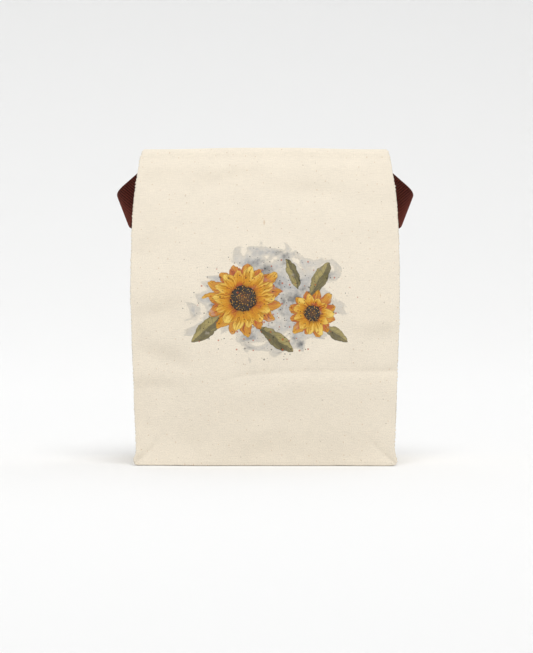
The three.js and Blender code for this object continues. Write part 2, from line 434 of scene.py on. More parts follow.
@dataclass
class Sheet:
    """A closed piece of cloth of some thickness round a grid of points, with a rounded rim.

    cloth is each point's place on the flat cloth. outer_share is how much of the map the outer face takes.
    """

    middle: Array
    cloth: Array
    thickness: Array | float
    outer_share: float = 0.66
    rim_round: float = 0.42
    map_margin: float = 0.012

    @property
    def shape(self) -> tuple[int, int]:
        """Rows and columns of the grid."""
        return self.middle.shape[:2]

    @property
    def numbers(self) -> Array:
        """The grid's points, numbered row by row."""
        return np.arange(math.prod(self.shape)).reshape(self.shape)

    def object(self, name: str) -> bpy.types.Object:
        """Makes the mesh, with its cloth coordinates and a map of both faces.

        Args:
            name: The object's name.

        Returns:
            The new object.
        """
        out = grid_normals(self.middle) * np.broadcast_to(self.thickness, self.shape)[..., None] / 2
        outer, inner = self.middle + out, self.middle - out
        ring = self._rim()
        points = np.concatenate([outer.reshape(-1, 3), inner.reshape(-1, 3), self._rim_points(ring)])
        faces, is_inner = self._faces(ring)
        made = mesh_object(name, points, faces.tolist())
        self._mark(made.data, ring)
        self._map(made.data, ring, faces, is_inner)
        return made

    def _rim(self) -> Array:
        """Numbers of the grid's border points, in order round it."""
        number = self.numbers
        return np.concatenate([number[0, :-1], number[:-1, -1], number[-1, :0:-1], number[:0:-1, 0]])

    def _rim_points(self, ring: Array) -> Array:
        """Points midway through the rim, bulged outward.

        Args:
            ring: Numbers of the border points.

        Returns:
            One point for each of them.
        """
        rows, columns = self.shape
        thick = np.broadcast_to(self.thickness, self.shape).ravel()[ring]
        inward = np.clip(np.stack(np.unravel_index(ring, self.shape)), 1, [[rows - 2], [columns - 2]])
        points = self.middle.reshape(-1, 3)[ring]
        outward = unit(points - self.middle[inward[0], inward[1]])
        return points + outward * (self.rim_round * thick)[:, None]

    def _faces(self, ring: Array) -> tuple[Array, Array]:
        """The sheet's faces.

        Args:
            ring: Numbers of the border points.

        Returns:
            The faces, and for each one whether it is on the inner side.
        """
        number = self.numbers
        corners = [number[:-1, :-1], number[:-1, 1:], number[1:, 1:], number[1:, :-1]]
        outer = np.stack([c.ravel() for c in corners], axis=1)
        inner = outer[:, ::-1] + number.size
        following = np.roll(ring, -1)
        middle = 2 * number.size + np.arange(len(ring))
        next_middle = np.roll(middle, -1)
        outer_rim = np.stack([following, ring, middle, next_middle], axis=1)
        inner_rim = np.stack([next_middle, middle, ring + number.size, following + number.size], axis=1)
        faces = np.concatenate([outer, outer_rim, inner, inner_rim])
        is_inner = np.arange(len(faces)) >= len(outer) + len(outer_rim)
        return faces, is_inner

    def _mark(self, mesh: bpy.types.Mesh, ring: Array) -> None:
        """Stores each vertex's place on the flat cloth, with 0 for the outer face and 1 for the inner.

        Args:
            mesh: The sheet's mesh.
            ring: Numbers of the border points.
        """
        flat = self.cloth.reshape(-1, 2)
        places = np.concatenate([flat, flat, flat[ring]])
        face = np.concatenate([np.zeros(len(flat)), np.ones(len(flat)), np.full(len(ring), 0.5)])
        layer = mesh.attributes.new(CLOTH, "FLOAT_VECTOR", "POINT")
        layer.data.foreach_set("vector", np.column_stack([places, face]).astype(np.float32).ravel())

    def _map(self, mesh: bpy.types.Mesh, ring: Array, faces: Array, is_inner: Array) -> None:
        """Adds a map in which the outer and inner faces lie side by side.

        Args:
            mesh: The sheet's mesh.
            ring: Numbers of the border points.
            faces: The sheet's faces.
            is_inner: For each face, whether it is on the inner side.
        """
        rows, columns = self.shape
        row, column = np.indices(self.shape)
        grid = np.stack([column / (columns - 1), row / (rows - 1)], axis=-1).reshape(-1, 2)
        edge = 0.5 + (grid[ring] - 0.5) * (1 + self.map_margin)
        place = np.concatenate([grid, grid, edge])
        inset = self.map_margin + place * (1 - 2 * self.map_margin)
        outer_map = inset * [self.outer_share, 1]
        inner_map = inset * [1 - self.outer_share, 1] + [self.outer_share, 0]
        corner, on_inner = faces.ravel(), np.repeat(is_inner, 4)[:, None]
        corner_map = np.where(on_inner, inner_map[corner], outer_map[corner])
        layer = mesh.uv_layers.new(name=BAKE_MAP)
        layer.uv.foreach_set("vector", corner_map.astype(np.float32).ravel())


@dataclass(frozen=True)
class Stitch:
    """A row of stitches: short threads a pitch apart, that arch over the cloth and dip into it at their ends.

    arch, dip and end are shares of the thread: its rise in the middle, its fall from there to an end, and
    the square of an end's thickness.
    """

    pitch: float = 3.0
    length: float = 2.2
    thread: float = 0.5
    arch: float = 0.3
    dip: float = 0.55
    end: float = 0.08
    sides: int = 6
    rings: int = 5

    def row(self, path: Array, outward: Array) -> tuple[Array, Array]:
        """Lays stitches along a line on a cloth's face.

        Args:
            path: Points of the line.
            outward: The face's normal at each point.

        Returns:
            The vertices, and the faces as vertex numbers.
        """
        travelled = np.concatenate([[0], np.cumsum(np.linalg.norm(np.diff(path, axis=0), axis=1))])
        middles = np.arange(self.pitch / 2, travelled[-1] - self.length / 2, self.pitch)

        def on_path(values: Array, at: Array) -> Array:
            """Values along the line at the given distances."""
            return np.stack([np.interp(at, travelled, values[:, k]) for k in range(3)], axis=1)

        ahead = unit(on_path(path, middles + self.length / 2) - on_path(path, middles - self.length / 2))
        out = unit(on_path(outward, middles))
        aside = np.cross(ahead, out)
        share = np.linspace(-1, 1, self.rings)
        radius = self.thread / 2 * np.sqrt(np.maximum(1 - share**4, self.end))
        arch = self.thread * (self.arch - self.dip * share**2)
        angle = np.linspace(0, 2 * math.pi, self.sides, endpoint=False)
        along = (share * self.length / 2)[:, None] + 0 * angle
        lift = arch[:, None] + radius[:, None] * np.sin(angle)
        sideways = radius[:, None] * np.cos(angle)
        points = on_path(path, middles)[:, None, None, :] + sum(
            frame_axis[:, None, None, :] * local[None, :, :, None]
            for frame_axis, local in ((ahead, along), (out, lift), (aside, sideways))
        )
        return points.reshape(-1, 3), self._faces(len(middles))

    def _faces(self, count: int) -> Array:
        """Faces of a number of stitches.

        Args:
            count: How many stitches there are.

        Returns:
            Four vertex numbers for each face.
        """
        # Two quads close each end, which suits a thread of six sides
        near_end = np.array([[0, 3, 2, 1], [0, 5, 4, 3]])
        far_end = np.array([[0, 1, 2, 3], [0, 3, 4, 5]]) + (self.rings - 1) * self.sides
        one = np.concatenate([tube_faces(self.rings, self.sides), near_end, far_end])
        each = np.arange(count)[:, None, None] * self.rings * self.sides
        return (one[None] + each).reshape(-1, 4)


class Nodes:
    """Adds shader nodes to one material and wires them."""

    def __init__(self, name: str) -> None:
        """Starts a material with a Principled shader.

        Args:
            name: The material's name.
        """
        self.material = bpy.data.materials.new(name)
        self.material.use_nodes = True
        self.tree = self.material.node_tree
        self.shader = next(node for node in self.tree.nodes if node.type == "BSDF_PRINCIPLED")

    def put(self, socket: Socket, value: object) -> None:
        """Wires a socket to another one, or sets its value.

        Args:
            socket: The socket to feed.
            value: A socket or a plain value.
        """
        if isinstance(value, bpy.types.NodeSocket):
            self.tree.links.new(value, socket)
        else:
            socket.default_value = value

    def add(self, kind: str, inputs: dict[str | int, object], **settings: object) -> bpy.types.Node:
        """Adds a node.

        Args:
            kind: Its type.
            inputs: Values or sockets by the name or number of an input.
            settings: The node's own settings.

        Returns:
            The node.
        """
        node = self.tree.nodes.new(kind)
        for name, value in settings.items():
            setattr(node, name, value)
        for key, value in inputs.items():
            self.put(node.inputs[key], value)
        return node

    def finish(self, **inputs: object) -> bpy.types.Material:
        """Sets inputs of the Principled shader.

        Args:
            inputs: Values or sockets by input name, with _ for a space.

        Returns:
            The finished material.
        """
        for name, value in inputs.items():
            self.put(self.shader.inputs[name.replace("_", " ")], value)
        return self.material

    def math(self, operation: str, *values: object) -> Socket:
        """The result of a Math node on numbers or sockets."""
        return self.add("ShaderNodeMath", dict(enumerate(values)), operation=operation).outputs[0]

    def times(self, first: object, second: object, plus: object = 0.0) -> Socket:
        """The product of two numbers or sockets, plus a third."""
        return self.math("MULTIPLY_ADD", first, second, plus)

    def minus(self, first: object, second: object) -> Socket:
        """The first of two numbers or sockets less the second."""
        return self.math("SUBTRACT", first, second)

    def length(self, x: Socket, z: Socket) -> Socket:
        """Length of a line with the given runs across and along."""
        return self.math("SQRT", self.times(x, x, self.times(z, z)))

    def ease(self, value: Socket, low: float, high: float, top: float = 1.0) -> Socket:
        """Eases from 0 where the value is low to a top where it is high."""
        inputs = {"Value": value, "From Min": low, "From Max": high, "To Max": top}
        return self.add("ShaderNodeMapRange", inputs, interpolation_type="SMOOTHSTEP").outputs["Result"]

    def chance(self, number: Socket) -> Socket:
        """A value from 0 to 1 of its own for each whole number."""
        return self.add("ShaderNodeTexWhiteNoise", {"W": number}, noise_dimensions="1D").outputs["Value"]

    def split(self, vector: Socket) -> tuple[Socket, Socket, Socket]:
        """The three parts of a vector."""
        return tuple(self.add("ShaderNodeSeparateXYZ", {0: vector}).outputs)

    def space(self) -> Socket:
        """The place in the object's own frame, in metres."""
        return self.add("ShaderNodeTexCoord", {}).outputs["Object"]

    def scaled(self, across: Socket, along: Socket, width: float, length: float, seed: float) -> Socket:
        """A vector in units of a pattern's own size.

        Args:
            across: Where to read it across.
            along: Where to read it along.
            width: Size of the pattern across.
            length: Size of the pattern along.
            seed: Which of many such patterns to take.

        Returns:
            The vector.
        """
        x = self.times(across, 1 / width, SEED_SHIFT[0] * seed)
        y = self.times(along, 1 / length, SEED_SHIFT[1] * seed)
        return self.add("ShaderNodeCombineXYZ", {0: x, 1: y, 2: seed}).outputs[0]

    def noise(
        self, vector: Socket, detail: float = 2.0, distortion: float = 0.0, scale: float = 1.0
    ) -> Socket:
        """Soft noise from 0 to 1, with finer layers for its detail and stirred by its distortion."""
        inputs = {"Vector": vector, "Scale": scale, "Detail": detail, "Distortion": distortion}
        return self.add("ShaderNodeTexNoise", inputs).outputs["Fac"]

    def solid_noise(self, size: float, detail: float = 2.0) -> Socket:
        """Soft noise from 0 to 1 all through an object, with waves of the given size."""
        return self.noise(self.space(), detail, scale=1.0 / (size * MM))

    def mix(self, share: object, first: object, second: object, blend: str = "MIX") -> Socket:
        """Mixes two colours.

        Args:
            share: How much of the second.
            first: A colour or socket.
            second: A colour or socket.
            blend: How they mix.

        Returns:
            The mixed colour.
        """
        under, over = ((*colour, 1.0) if isinstance(colour, tuple) else colour for colour in (first, second))
        # The Mix node has a set of sockets for each type, and 6, 7 and the result 2 are those of a colour
        sockets = {0: share, 6: under, 7: over}
        return self.add("ShaderNodeMix", sockets, data_type="RGBA", blend_type=blend).outputs[2]

    def grey(self, shade: Socket) -> Socket:
        """A grey of the given shade."""
        return self.add("ShaderNodeCombineColor", {0: shade, 1: shade, 2: shade}).outputs[0]

    def bump(self, height: Socket, depth: float, strength: float) -> Socket:
        """A bumped normal, where a height of 1 stands for the depth."""
        inputs = {"Height": height, "Distance": depth * MM, "Strength": strength}
        return self.add("ShaderNodeBump", inputs).outputs["Normal"]


class ClothNodes(Nodes):
    """Nodes of a material that reads its place on the flat cloth: across, along and which face."""

    def __init__(self, name: str) -> None:
        """Starts a material and reads the cloth coordinates.

        Args:
            name: The material's name.
        """
        super().__init__(name)
        place = self.add("ShaderNodeAttribute", {}, attribute_name=CLOTH).outputs["Vector"]
        self.across, self.along, self.face = self.split(place)

    def mottle(
        self, width: float, length: float, seed: float, detail: float, distortion: float = 0.0
    ) -> Socket:
        """Soft noise on the cloth from 0 to 1, of the given size across and along."""
        return self.noise(self.scaled(self.across, self.along, width, length, seed), detail, distortion)


@dataclass(frozen=True)
class Mottle:
    """One layer of unevenness in a cloth's tone: its size across and along, seed, detail and strength."""

    width: float
    length: float
    seed: float
    detail: float
    shade: float

    def noise(self, n: ClothNodes) -> Socket:
        """The layer's noise, from 0 to 1."""
        return n.mottle(self.width, self.length, self.seed, self.detail)


@dataclass(frozen=True)
class Flecks:
    """Scattered round flecks, at most one to a cell of the given width and length.

    The radii are in cells, share is how many of the cells have a fleck, and rim is its soft edge.
    """

    colour: Colour
    width: float
    length: float
    seed: float
    smallest: float
    largest: float
    share: float | Socket
    strength: float
    rim: Ramp = (-0.01, 0.03)

    def over(self, n: ClothNodes, under: Colour | Socket) -> Socket:
        """Scatters the flecks over a colour.

        Args:
            n: The material's nodes.
            under: The colour below.

        Returns:
            The flecked colour.
        """
        place = n.scaled(n.across, n.along, self.width, self.length, self.seed)
        cell = n.add("ShaderNodeTexVoronoi", {"Vector": place, "Scale": 1.0}, voronoi_dimensions="2D")
        chances = n.add("ShaderNodeSeparateColor", {0: cell.outputs["Color"]}).outputs
        radius = n.times(chances[0], self.largest - self.smallest, self.smallest)
        inside = n.ease(n.minus(radius, cell.outputs["Distance"]), *self.rim)
        shown = n.times(inside, n.math("LESS_THAN", chances[1], self.share))
        return n.mix(n.times(shown, self.strength), under, self.colour)


@dataclass(frozen=True)
class PetalRing:
    """A ring of painted petals round a flower's middle.

    inner and outer are the radii where the petals start and end, twist turns the ring by a share of a petal,
    and shade darkens it.
    """

    x: float
    z: float
    count: int
    inner: float
    outer: float
    half_width: float
    twist: float
    shade: float


@dataclass(frozen=True)
class PaintedDisc:
    """A flower's painted middle: its place and radius."""

    x: float
    z: float
    radius: float


@dataclass(frozen=True)
class PaintedLeaf:
    """A painted leaf: its middle, length, width and direction in degrees."""

    x: float
    z: float
    length: float
    width: float
    turn: float


@dataclass(frozen=True)
class Brush:
    """What the print's strokes read: the nodes, the places that the brush strays to, and the paint's body."""

    n: ClothNodes
    x: Socket
    z: Socket
    pigment: Socket


@dataclass(frozen=True)
class FlowerPrint:
    """A loose wash-and-ink print of two golden flowers with leaves, on the front panel."""

    x: float = 2.5
    z: float = 129.0
    half_width: float = 66.0
    half_height: float = 46.0
    gold: Colour = (0.60, 0.285, 0.022)
    pale_gold: Colour = (0.80, 0.57, 0.13)
    rust: Colour = (0.43, 0.075, 0.018)
    olive: Colour = (0.085, 0.07, 0.016)
    pale_olive: Colour = (0.36, 0.29, 0.09)
    ink: Colour = (0.022, 0.018, 0.015)
    brown: Colour = (0.085, 0.036, 0.012)
    grey: Colour = (0.285, 0.305, 0.335)
    slate: Colour = (0.062, 0.067, 0.074)
    stray: float = 5.0
    stray_size: float = 7.0
    pigment_size: float = 9.0
    petal_power: float = 0.62
    shortest_petal: float = 0.75
    petal_spare: float = 0.3
    petals_apart: float = 90.0
    streak_width: float = 1.0
    streak_length: float = 13.0
    leaf_power: float = 0.8
    brush_length: float = 12.0
    brush_width: float = 1.6
    vein_pitch: float = 4.4
    seeds: Flecks = Flecks(gold, 1.5, 1.5, 4.4, 0.12, 0.34, 0.8, 0.75)
    rings: tuple[PetalRing, ...] = (
        PetalRing(-17, 132, 15, 9.5, 35, 5.4, 0.5, 0.34),
        PetalRing(-17, 132, 14, 9.0, 29, 5.0, 0.0, 0.0),
        PetalRing(37, 120, 12, 6.0, 23, 4.2, 0.5, 0.34),
        PetalRing(37, 120, 11, 5.5, 18.5, 3.8, 0.0, 0.0),
    )
    discs: tuple[PaintedDisc, ...] = (PaintedDisc(-17, 132, 10.5), PaintedDisc(37, 120, 6.6))
    leaves: tuple[PaintedLeaf, ...] = (
        PaintedLeaf(-45, 109, 34, 13, 42),
        PaintedLeaf(9, 100, 32, 12, -36),
        PaintedLeaf(43, 147, 32, 12, 60),
        PaintedLeaf(22, 152, 26, 9, 112),
        PaintedLeaf(56, 104, 22, 9, -36),
    )

    def paint(self, n: ClothNodes, ground: Socket) -> Socket:
        """Paints the print over the cloth's colour.

        Args:
            n: The material's nodes.
            ground: The bare cloth's colour.

        Returns:
            The printed colour.
        """
        x = n.math("ADD", n.across, self._strayed(n, 3.1))
        z = n.math("ADD", n.along, self._strayed(n, 8.7))
        brush = Brush(n, x, z, n.mottle(self.pigment_size, self.pigment_size, 5.0, 5))
        near = self._near(n)
        colour = self._wash(n, ground, near)
        for leaf in self.leaves:
            colour = self._leaf(brush, colour, leaf)
        for ring in self.rings:
            colour = self._petals(brush, colour, ring)
        for disc in self.discs:
            colour = self._disc(brush, colour, disc)
        colour = self._spatter(n, colour, near)
        outside = n.math("LESS_THAN", n.face, 0.25)
        return n.mix(outside, ground, colour)

    def _strayed(self, n: ClothNodes, seed: float) -> Socket:
        """How far the brush strays to either side of a shape's true edge."""
        wander = n.mottle(self.stray_size, self.stray_size, seed, 3)
        return n.times(wander, self.stray, -self.stray / 2)

    def _near(self, n: ClothNodes) -> Socket:
        """How near a place is to the print's middle.

        Args:
            n: The material's nodes.

        Returns:
            1 in the middle, 0 on an oval round the print and less beyond it.
        """
        dx = n.math("DIVIDE", n.minus(n.across, self.x), self.half_width)
        dz = n.math("DIVIDE", n.minus(n.along, self.z), self.half_height)
        return n.minus(1.0, n.length(dx, dz))

    def _wash(self, n: ClothNodes, ground: Socket, near: Socket) -> Socket:
        """Lays grey wash behind the flowers, darker in drifts and along its dried rim.

        Args:
            n: The material's nodes.
            ground: The bare cloth's colour.
            near: How near a place is to the print's middle.

        Returns:
            The washed colour.
        """
        depth = n.times(near, 0.55, n.mottle(24, 20, 1.7, 7, 0.7))
        body = n.ease(depth, 0.575, 0.74)
        rim = n.times(n.ease(depth, 0.59, 0.625), n.ease(depth, 0.69, 0.63))
        grain = n.mottle(2.4, 2.4, 2.3, 5)
        uneven = n.times(n.mottle(9, 8, 3.7, 4, 0.6), 0.9, -0.22)
        strength = n.times(grain, 0.55, uneven)
        washed = n.mix(n.times(body, strength), ground, self.grey)
        drift = n.ease(n.mottle(15, 12, 6.6, 6, 0.6), 0.48, 0.70)
        dark = n.times(n.times(drift, n.times(grain, 0.9, 0.25)), body)
        return n.mix(n.math("MAXIMUM", n.times(rim, 0.16), dark), washed, self.slate)

    @staticmethod
    def _blade(n: ClothNodes, share: Socket, aside: Socket, half_width: float, power: float) -> Socket:
        """How deep a place lies inside the pointed shape of a petal or a leaf.

        Args:
            n: The material's nodes.
            share: 0 at the shape's root and 1 at its tip.
            aside: Distance from its middle line.
            half_width: Half its width.
            power: How its sides curve, larger for a slimmer shape.

        Returns:
            The depth, below 0 outside the shape.
        """
        inside = n.math("MAXIMUM", n.times(share, n.minus(1.0, share)), 0.0)
        half = n.times(n.math("POWER", inside, power), half_width * 4**power)
        return n.minus(half, n.math("ABSOLUTE", aside))

    def _petals(self, brush: Brush, under: Socket, ring: PetalRing) -> Socket:
        """Paints a ring of streaked petals, each of its own length and tone.

        Args:
            brush: What the strokes read.
            under: The colour below.
            ring: The petals.

        Returns:
            The colour with the petals on it.
        """
        n, pigment = brush.n, brush.pigment
        dx, dz = n.minus(brush.x, ring.x), n.minus(brush.z, ring.z)
        radius = n.length(dx, dz)
        cell = n.times(n.math("ARCTAN2", dz, dx), ring.count / (2 * math.pi), ring.twist)
        number = n.math("ROUND", cell)
        luck = n.chance(n.math("ADD", number, ring.outer))
        arc = n.times(radius, 2 * math.pi / ring.count)
        aside = n.times(n.minus(cell, number), arc)
        spare = self.petal_spare * (ring.outer - ring.inner)
        length = n.times(luck, spare, self.shortest_petal * ring.outer - ring.inner)
        share = n.math("DIVIDE", n.minus(radius, ring.inner), length)
        depth = self._blade(n, share, aside, ring.half_width, self.petal_power)
        own_side = n.times(luck, self.petals_apart, aside)
        streak = n.noise(n.scaled(own_side, radius, self.streak_width, self.streak_length, ring.outer), 3)
        tone = n.times(pigment, 0.7, n.times(share, 0.62, -0.82 - ring.shade))
        tone = n.times(streak, 0.95, n.times(luck, 0.22, tone))
        warm = n.mix(n.ease(tone, 0.0, 0.4), self.rust, self.gold)
        bright = n.mix(n.ease(tone, 0.32, 0.8), warm, self.pale_gold)
        line = n.ease(streak, 0.44, 0.33, 0.4)
        edge = n.times(n.ease(depth, 1.0, 0.1), n.times(streak, 0.9, 0.1))
        inked = n.mix(n.math("MAXIMUM", line, edge), bright, self.brown)
        inked = n.mix(n.ease(share, 0.3, 0.0, 0.5), inked, self.brown)
        cover = n.times(n.ease(depth, 0.0, 0.35), n.ease(pigment, 0.12, 0.45, 0.95))
        return n.mix(cover, under, inked)

    def _leaf(self, brush: Brush, under: Socket, leaf: PaintedLeaf) -> Socket:
        """Paints a brushed leaf with its veins.

        Args:
            brush: What the strokes read.
            under: The colour below.
            leaf: The leaf.

        Returns:
            The colour with the leaf on it.
        """
        n, pigment = brush.n, brush.pigment
        cos, sin = math.cos(math.radians(leaf.turn)), math.sin(math.radians(leaf.turn))
        dx, dz = n.minus(brush.x, leaf.x), n.minus(brush.z, leaf.z)
        on = n.times(dx, cos, n.times(dz, sin))
        aside = n.times(dz, cos, n.times(dx, -sin))
        share = n.times(on, 1 / leaf.length, 0.5)
        depth = self._blade(n, share, aside, leaf.width / 2, self.leaf_power)
        streak = n.noise(n.scaled(on, aside, self.brush_length, self.brush_width, 0.1 * leaf.length), 3)
        tone = n.times(pigment, 0.8, n.times(streak, 0.8, -0.3))
        tone = n.times(n.ease(aside, -0.6, 0.6), 0.3, n.minus(tone, 0.15))
        green = n.mix(n.ease(tone, 0.2, 0.85), self.olive, self.pale_olive)
        slant = n.minus(on, n.math("ABSOLUTE", aside))
        veins = n.math("COSINE", n.times(slant, 2 * math.pi / self.vein_pitch))
        edge = n.times(n.ease(depth, 1.0, 0.1), streak)
        line = n.math("MAXIMUM", edge, n.ease(veins, 0.8, 1.0, 0.4))
        rib = n.ease(n.math("ABSOLUTE", aside), 0.55, 0.15, 0.6)
        inked = n.mix(n.math("MAXIMUM", line, rib), green, self.ink)
        cover = n.times(n.ease(depth, 0.0, 0.3), n.ease(pigment, 0.1, 0.42, 0.9))
        return n.mix(cover, under, inked)

    def _disc(self, brush: Brush, under: Socket, disc: PaintedDisc) -> Socket:
        """Paints a flower's seeded middle.

        Args:
            brush: What the strokes read.
            under: The colour below.
            disc: The middle.

        Returns:
            The colour with the middle on it.
        """
        n = brush.n
        far = n.length(n.minus(brush.x, disc.x), n.minus(brush.z, disc.z))
        depth = n.minus(disc.radius, far)
        ring = n.mix(n.ease(depth, 0.35 * disc.radius, 0.8 * disc.radius), self.ink, self.brown)
        return n.mix(n.ease(depth, -0.2, 0.5, 0.95), under, self.seeds.over(n, ring))

    def _spatter(self, n: ClothNodes, under: Socket, near: Socket) -> Socket:
        """Flicks drops of ink and paint round the print.

        Args:
            n: The material's nodes.
            under: The colour below.
            near: How near a place is to the print's middle.

        Returns:
            The colour with the drops on it.
        """
        share = n.times(near, 1.1, 0.12)
        flicks = ((self.ink, 4.0, 1.0, 0.8), (self.ink, 7.0, 6.0, 0.6), (self.rust, 7.0, 9.0, 0.7))
        for paint, apart, seed, strength in flicks:
            under = Flecks(paint, apart, apart, seed, 0.03, 0.13, share, strength).over(n, under)
        return under


@dataclass(frozen=True)
class CanvasFinish:
    """Unbleached cotton canvas: plain weave, thick-and-thin yarns and flecks of husks, neps and seeds.

    A painted highlight makes it paler round the top fold; painted shade makes its grain stronger on the lower
    walls.
    """

    name: str = "canvas"
    cotton: Colour = (0.788, 0.7105, 0.588)
    flecks: tuple[Flecks, ...] = (
        Flecks((0.46, 0.25, 0.075), 7, 8, 5.0, 0.03, 0.08, 0.65, 0.36),
        Flecks((0.46, 0.25, 0.075), 22, 64, 8.0, 0.02, 0.04, 0.12, 0.4),
        Flecks((0.22, 0.14, 0.075), 16, 16, 3.0, 0.016, 0.038, 0.45, 0.5),
    )
    print_on: FlowerPrint | None = None
    shade: float = 0.745
    slub: Mottle = Mottle(6, 0.8, 2.0, 2, 0.17)
    warp_slub: Mottle = Mottle(0.9, 9, 7.0, 2, 0.07)
    grain: Mottle = Mottle(0.9, 0.9, 4.0, 1, 0.18)
    cloud: Mottle = Mottle(22, 16, 1.0, 4, 0.09)
    # Painted shade: the grain is painted stronger on the lower walls, where grazing light brings out the weave
    low_grain_shade: float = 0.12
    low_grain_shade_fade: Ramp = (195.0, 150.0)
    # Painted highlight: the canvas is painted paler round the top fold, where the top catches more light
    fold_highlight: float = 0.04
    fold_highlight_rise: Ramp = (212.0, 248.0)
    fold_highlight_fall: Ramp = (284.0, 264.0)
    yarn: float = 0.62
    weave_depth: float = 0.16
    weave_strength: float = 0.85
    roughness: float = 0.92

    def material(self) -> bpy.types.Material:
        """Makes the material.

        Returns:
            The material.
        """
        n = ClothNodes(self.name)
        colour = self.cotton
        for kind in self.flecks:
            colour = kind.over(n, colour)
        if self.print_on:
            colour = self.print_on.paint(n, colour)
        layers = (self.slub, self.warp_slub, self.grain, self.cloud)
        slub, _, grain, _ = uneven = [layer.noise(n) for layer in layers]
        shade = self.shade
        for layer, part in zip(layers, uneven):
            shade = n.times(part, layer.shade, shade)
        # Painted shade of the weave, stronger on the lower walls
        low_grain_shade = n.ease(n.along, *self.low_grain_shade_fade, self.low_grain_shade)
        shade = n.math("ADD", shade, n.times(n.minus(grain, 0.5), low_grain_shade))
        # Painted highlight round the top fold
        at_fold = n.times(n.ease(n.along, *self.fold_highlight_rise), n.ease(n.along, *self.fold_highlight_fall))
        shade = n.times(at_fold, self.fold_highlight, shade)
        return n.finish(
            Base_Color=n.mix(1.0, colour, n.grey(shade), "MULTIPLY"),
            Roughness=self.roughness,
            Specular_IOR_Level=0.18,
            Sheen_Weight=0.12,
            Sheen_Roughness=0.6,
            Normal=n.bump(self._weave(n, slub, grain), self.weave_depth, self.weave_strength),
        )

    def _weave(self, n: ClothNodes, slub: Socket, grain: Socket) -> Socket:
        """Height of the weave.

        Args:
            n: The material's nodes.
            slub: Thick and thin yarns.
            grain: Fine unevenness.

        Returns:
            Heights from about 0 to 1.
        """
        turn = math.pi / self.yarn
        over = n.math("SINE", n.times(n.across, turn))
        under = n.math("SINE", n.times(n.along, turn))
        weave = n.times(n.times(over, under), 0.22, 0.3)
        return n.math("ADD", n.times(slub, 0.6, weave), n.times(grain, 0.3))


@dataclass(frozen=True)
class Ribs:
    """The webbing's ribs, which cross it at a slight slant."""

    pitch: float = 1.85
    slant: float = math.radians(11.5)

    @property
    def along(self) -> float:
        """How far the ribs' wave turns in a millimetre along the strap."""
        return 2 * math.pi * math.cos(self.slant) / self.pitch

    @property
    def across(self) -> float:
        """How far the ribs' wave turns in a millimetre across the strap."""
        return -2 * math.pi * math.sin(self.slant) / self.pitch


@dataclass(frozen=True)
class WebbingFinish:
    """Dark brown webbing with ribs across it, with painted highlight where it bends and painted shadow into the
    pleat.
    """

    name: str = "webbing"
    # The strap's own brown, with the grooves between the ribs painted far darker as painted shade
    rib: Colour = (0.185, 0.036, 0.022)
    groove: Colour = (0.022, 0.004, 0.0025)
    sheen: Colour = (1.0, 0.55, 0.45)
    ribs: Ribs = Ribs()
    rib_shade: float = 0.72
    darkest: float = -0.55
    yarn: Mottle = Mottle(1.3, 1.7, 2.0, 2, 0.8)
    cloud: Mottle = Mottle(14, 20, 4.0, 3, 0.3)
    # Painted shadow: the strap is painted darker where it runs into the pleat behind the front panel
    pleat_shadow: float = 0.12
    pleat_shadow_fade: Ramp = (20.0, 36.0)
    # Painted highlight: the strap is painted lighter round its bend at the bag's edge
    bend_highlight: float = 0.28
    bend_highlight_rise: Ramp = (-8.0, 6.0)
    bend_highlight_fall: Ramp = (28.0, 12.0)
    thread: float = 0.7

    def material(self) -> bpy.types.Material:
        """Makes the material.

        Returns:
            The material.
        """
        n = ClothNodes(self.name)
        turn = n.times(n.across, self.ribs.across, n.times(n.along, self.ribs.along))
        top = n.times(n.math("COSINE", turn), 0.5, 0.5)
        yarn, cloud = self.yarn.noise(n), self.cloud.noise(n)
        # Lighter rib tops and darker grooves: the strap's own brown with painted shade in the grooves
        share = n.times(top, self.rib_shade, self.darkest)
        share = n.times(yarn, self.yarn.shade, share)
        share = n.times(cloud, self.cloud.shade, share)
        # Painted shadow into the pleat, then painted highlight round the bend
        share = n.minus(share, n.ease(n.along, *self.pleat_shadow_fade, self.pleat_shadow))
        bend = n.times(n.ease(n.along, *self.bend_highlight_rise), n.ease(n.along, *self.bend_highlight_fall))
        share = n.times(bend, self.bend_highlight, share)
        cross = n.math("SINE", n.times(n.across, 2 * math.pi / self.thread))
        height = n.times(cross, 0.25, n.times(yarn, 0.5, 0.3))
        return n.finish(
            Base_Color=n.mix(share, self.groove, self.rib),
            Roughness=0.72,
            Specular_IOR_Level=0.12,
            Sheen_Weight=0.5,
            Sheen_Roughness=0.3,
            Sheen_Tint=(*self.sheen, 1.0),
            Normal=n.bump(height, 0.12, 0.6),
        )


@dataclass(frozen=True)
class ThreadFinish:
    """Twisted sewing thread."""

    name: str
    colour: Colour
    fibre: float = 0.4
    shaded: float = 0.7

    def material(self) -> bpy.types.Material:
        """Makes the material.

        Returns:
            The material.
        """
        n = Nodes(self.name)
        fibres = n.solid_noise(self.fibre)
        darker = tuple(self.shaded * part for part in self.colour)
        return n.finish(
            Base_Color=n.mix(fibres, darker, self.colour),
            Roughness=0.8,
            Sheen_Weight=0.15,
            Normal=n.bump(fibres, 0.08, 0.5),
        )


@dataclass(frozen=True)
class SteelFinish:
    """Satin nickel-plated steel with fine rub marks."""

    name: str = "ring_steel"
    colour: Colour = (0.56, 0.54, 0.50)
    dull: Colour = (0.40, 0.38, 0.35)
    mark: float = 2.5

    def material(self) -> bpy.types.Material:
        """Makes the material.

        Returns:
            The material.
        """
        n = Nodes(self.name)
        rub = n.solid_noise(self.mark, 6.0)
        return n.finish(
            Base_Color=n.mix(n.ease(rub, 0.4, 0.7), self.colour, self.dull),
            Metallic=1.0,
            Roughness=n.times(rub, 0.25, 0.2),
            Normal=n.bump(rub, 0.03, 0.3),
        )


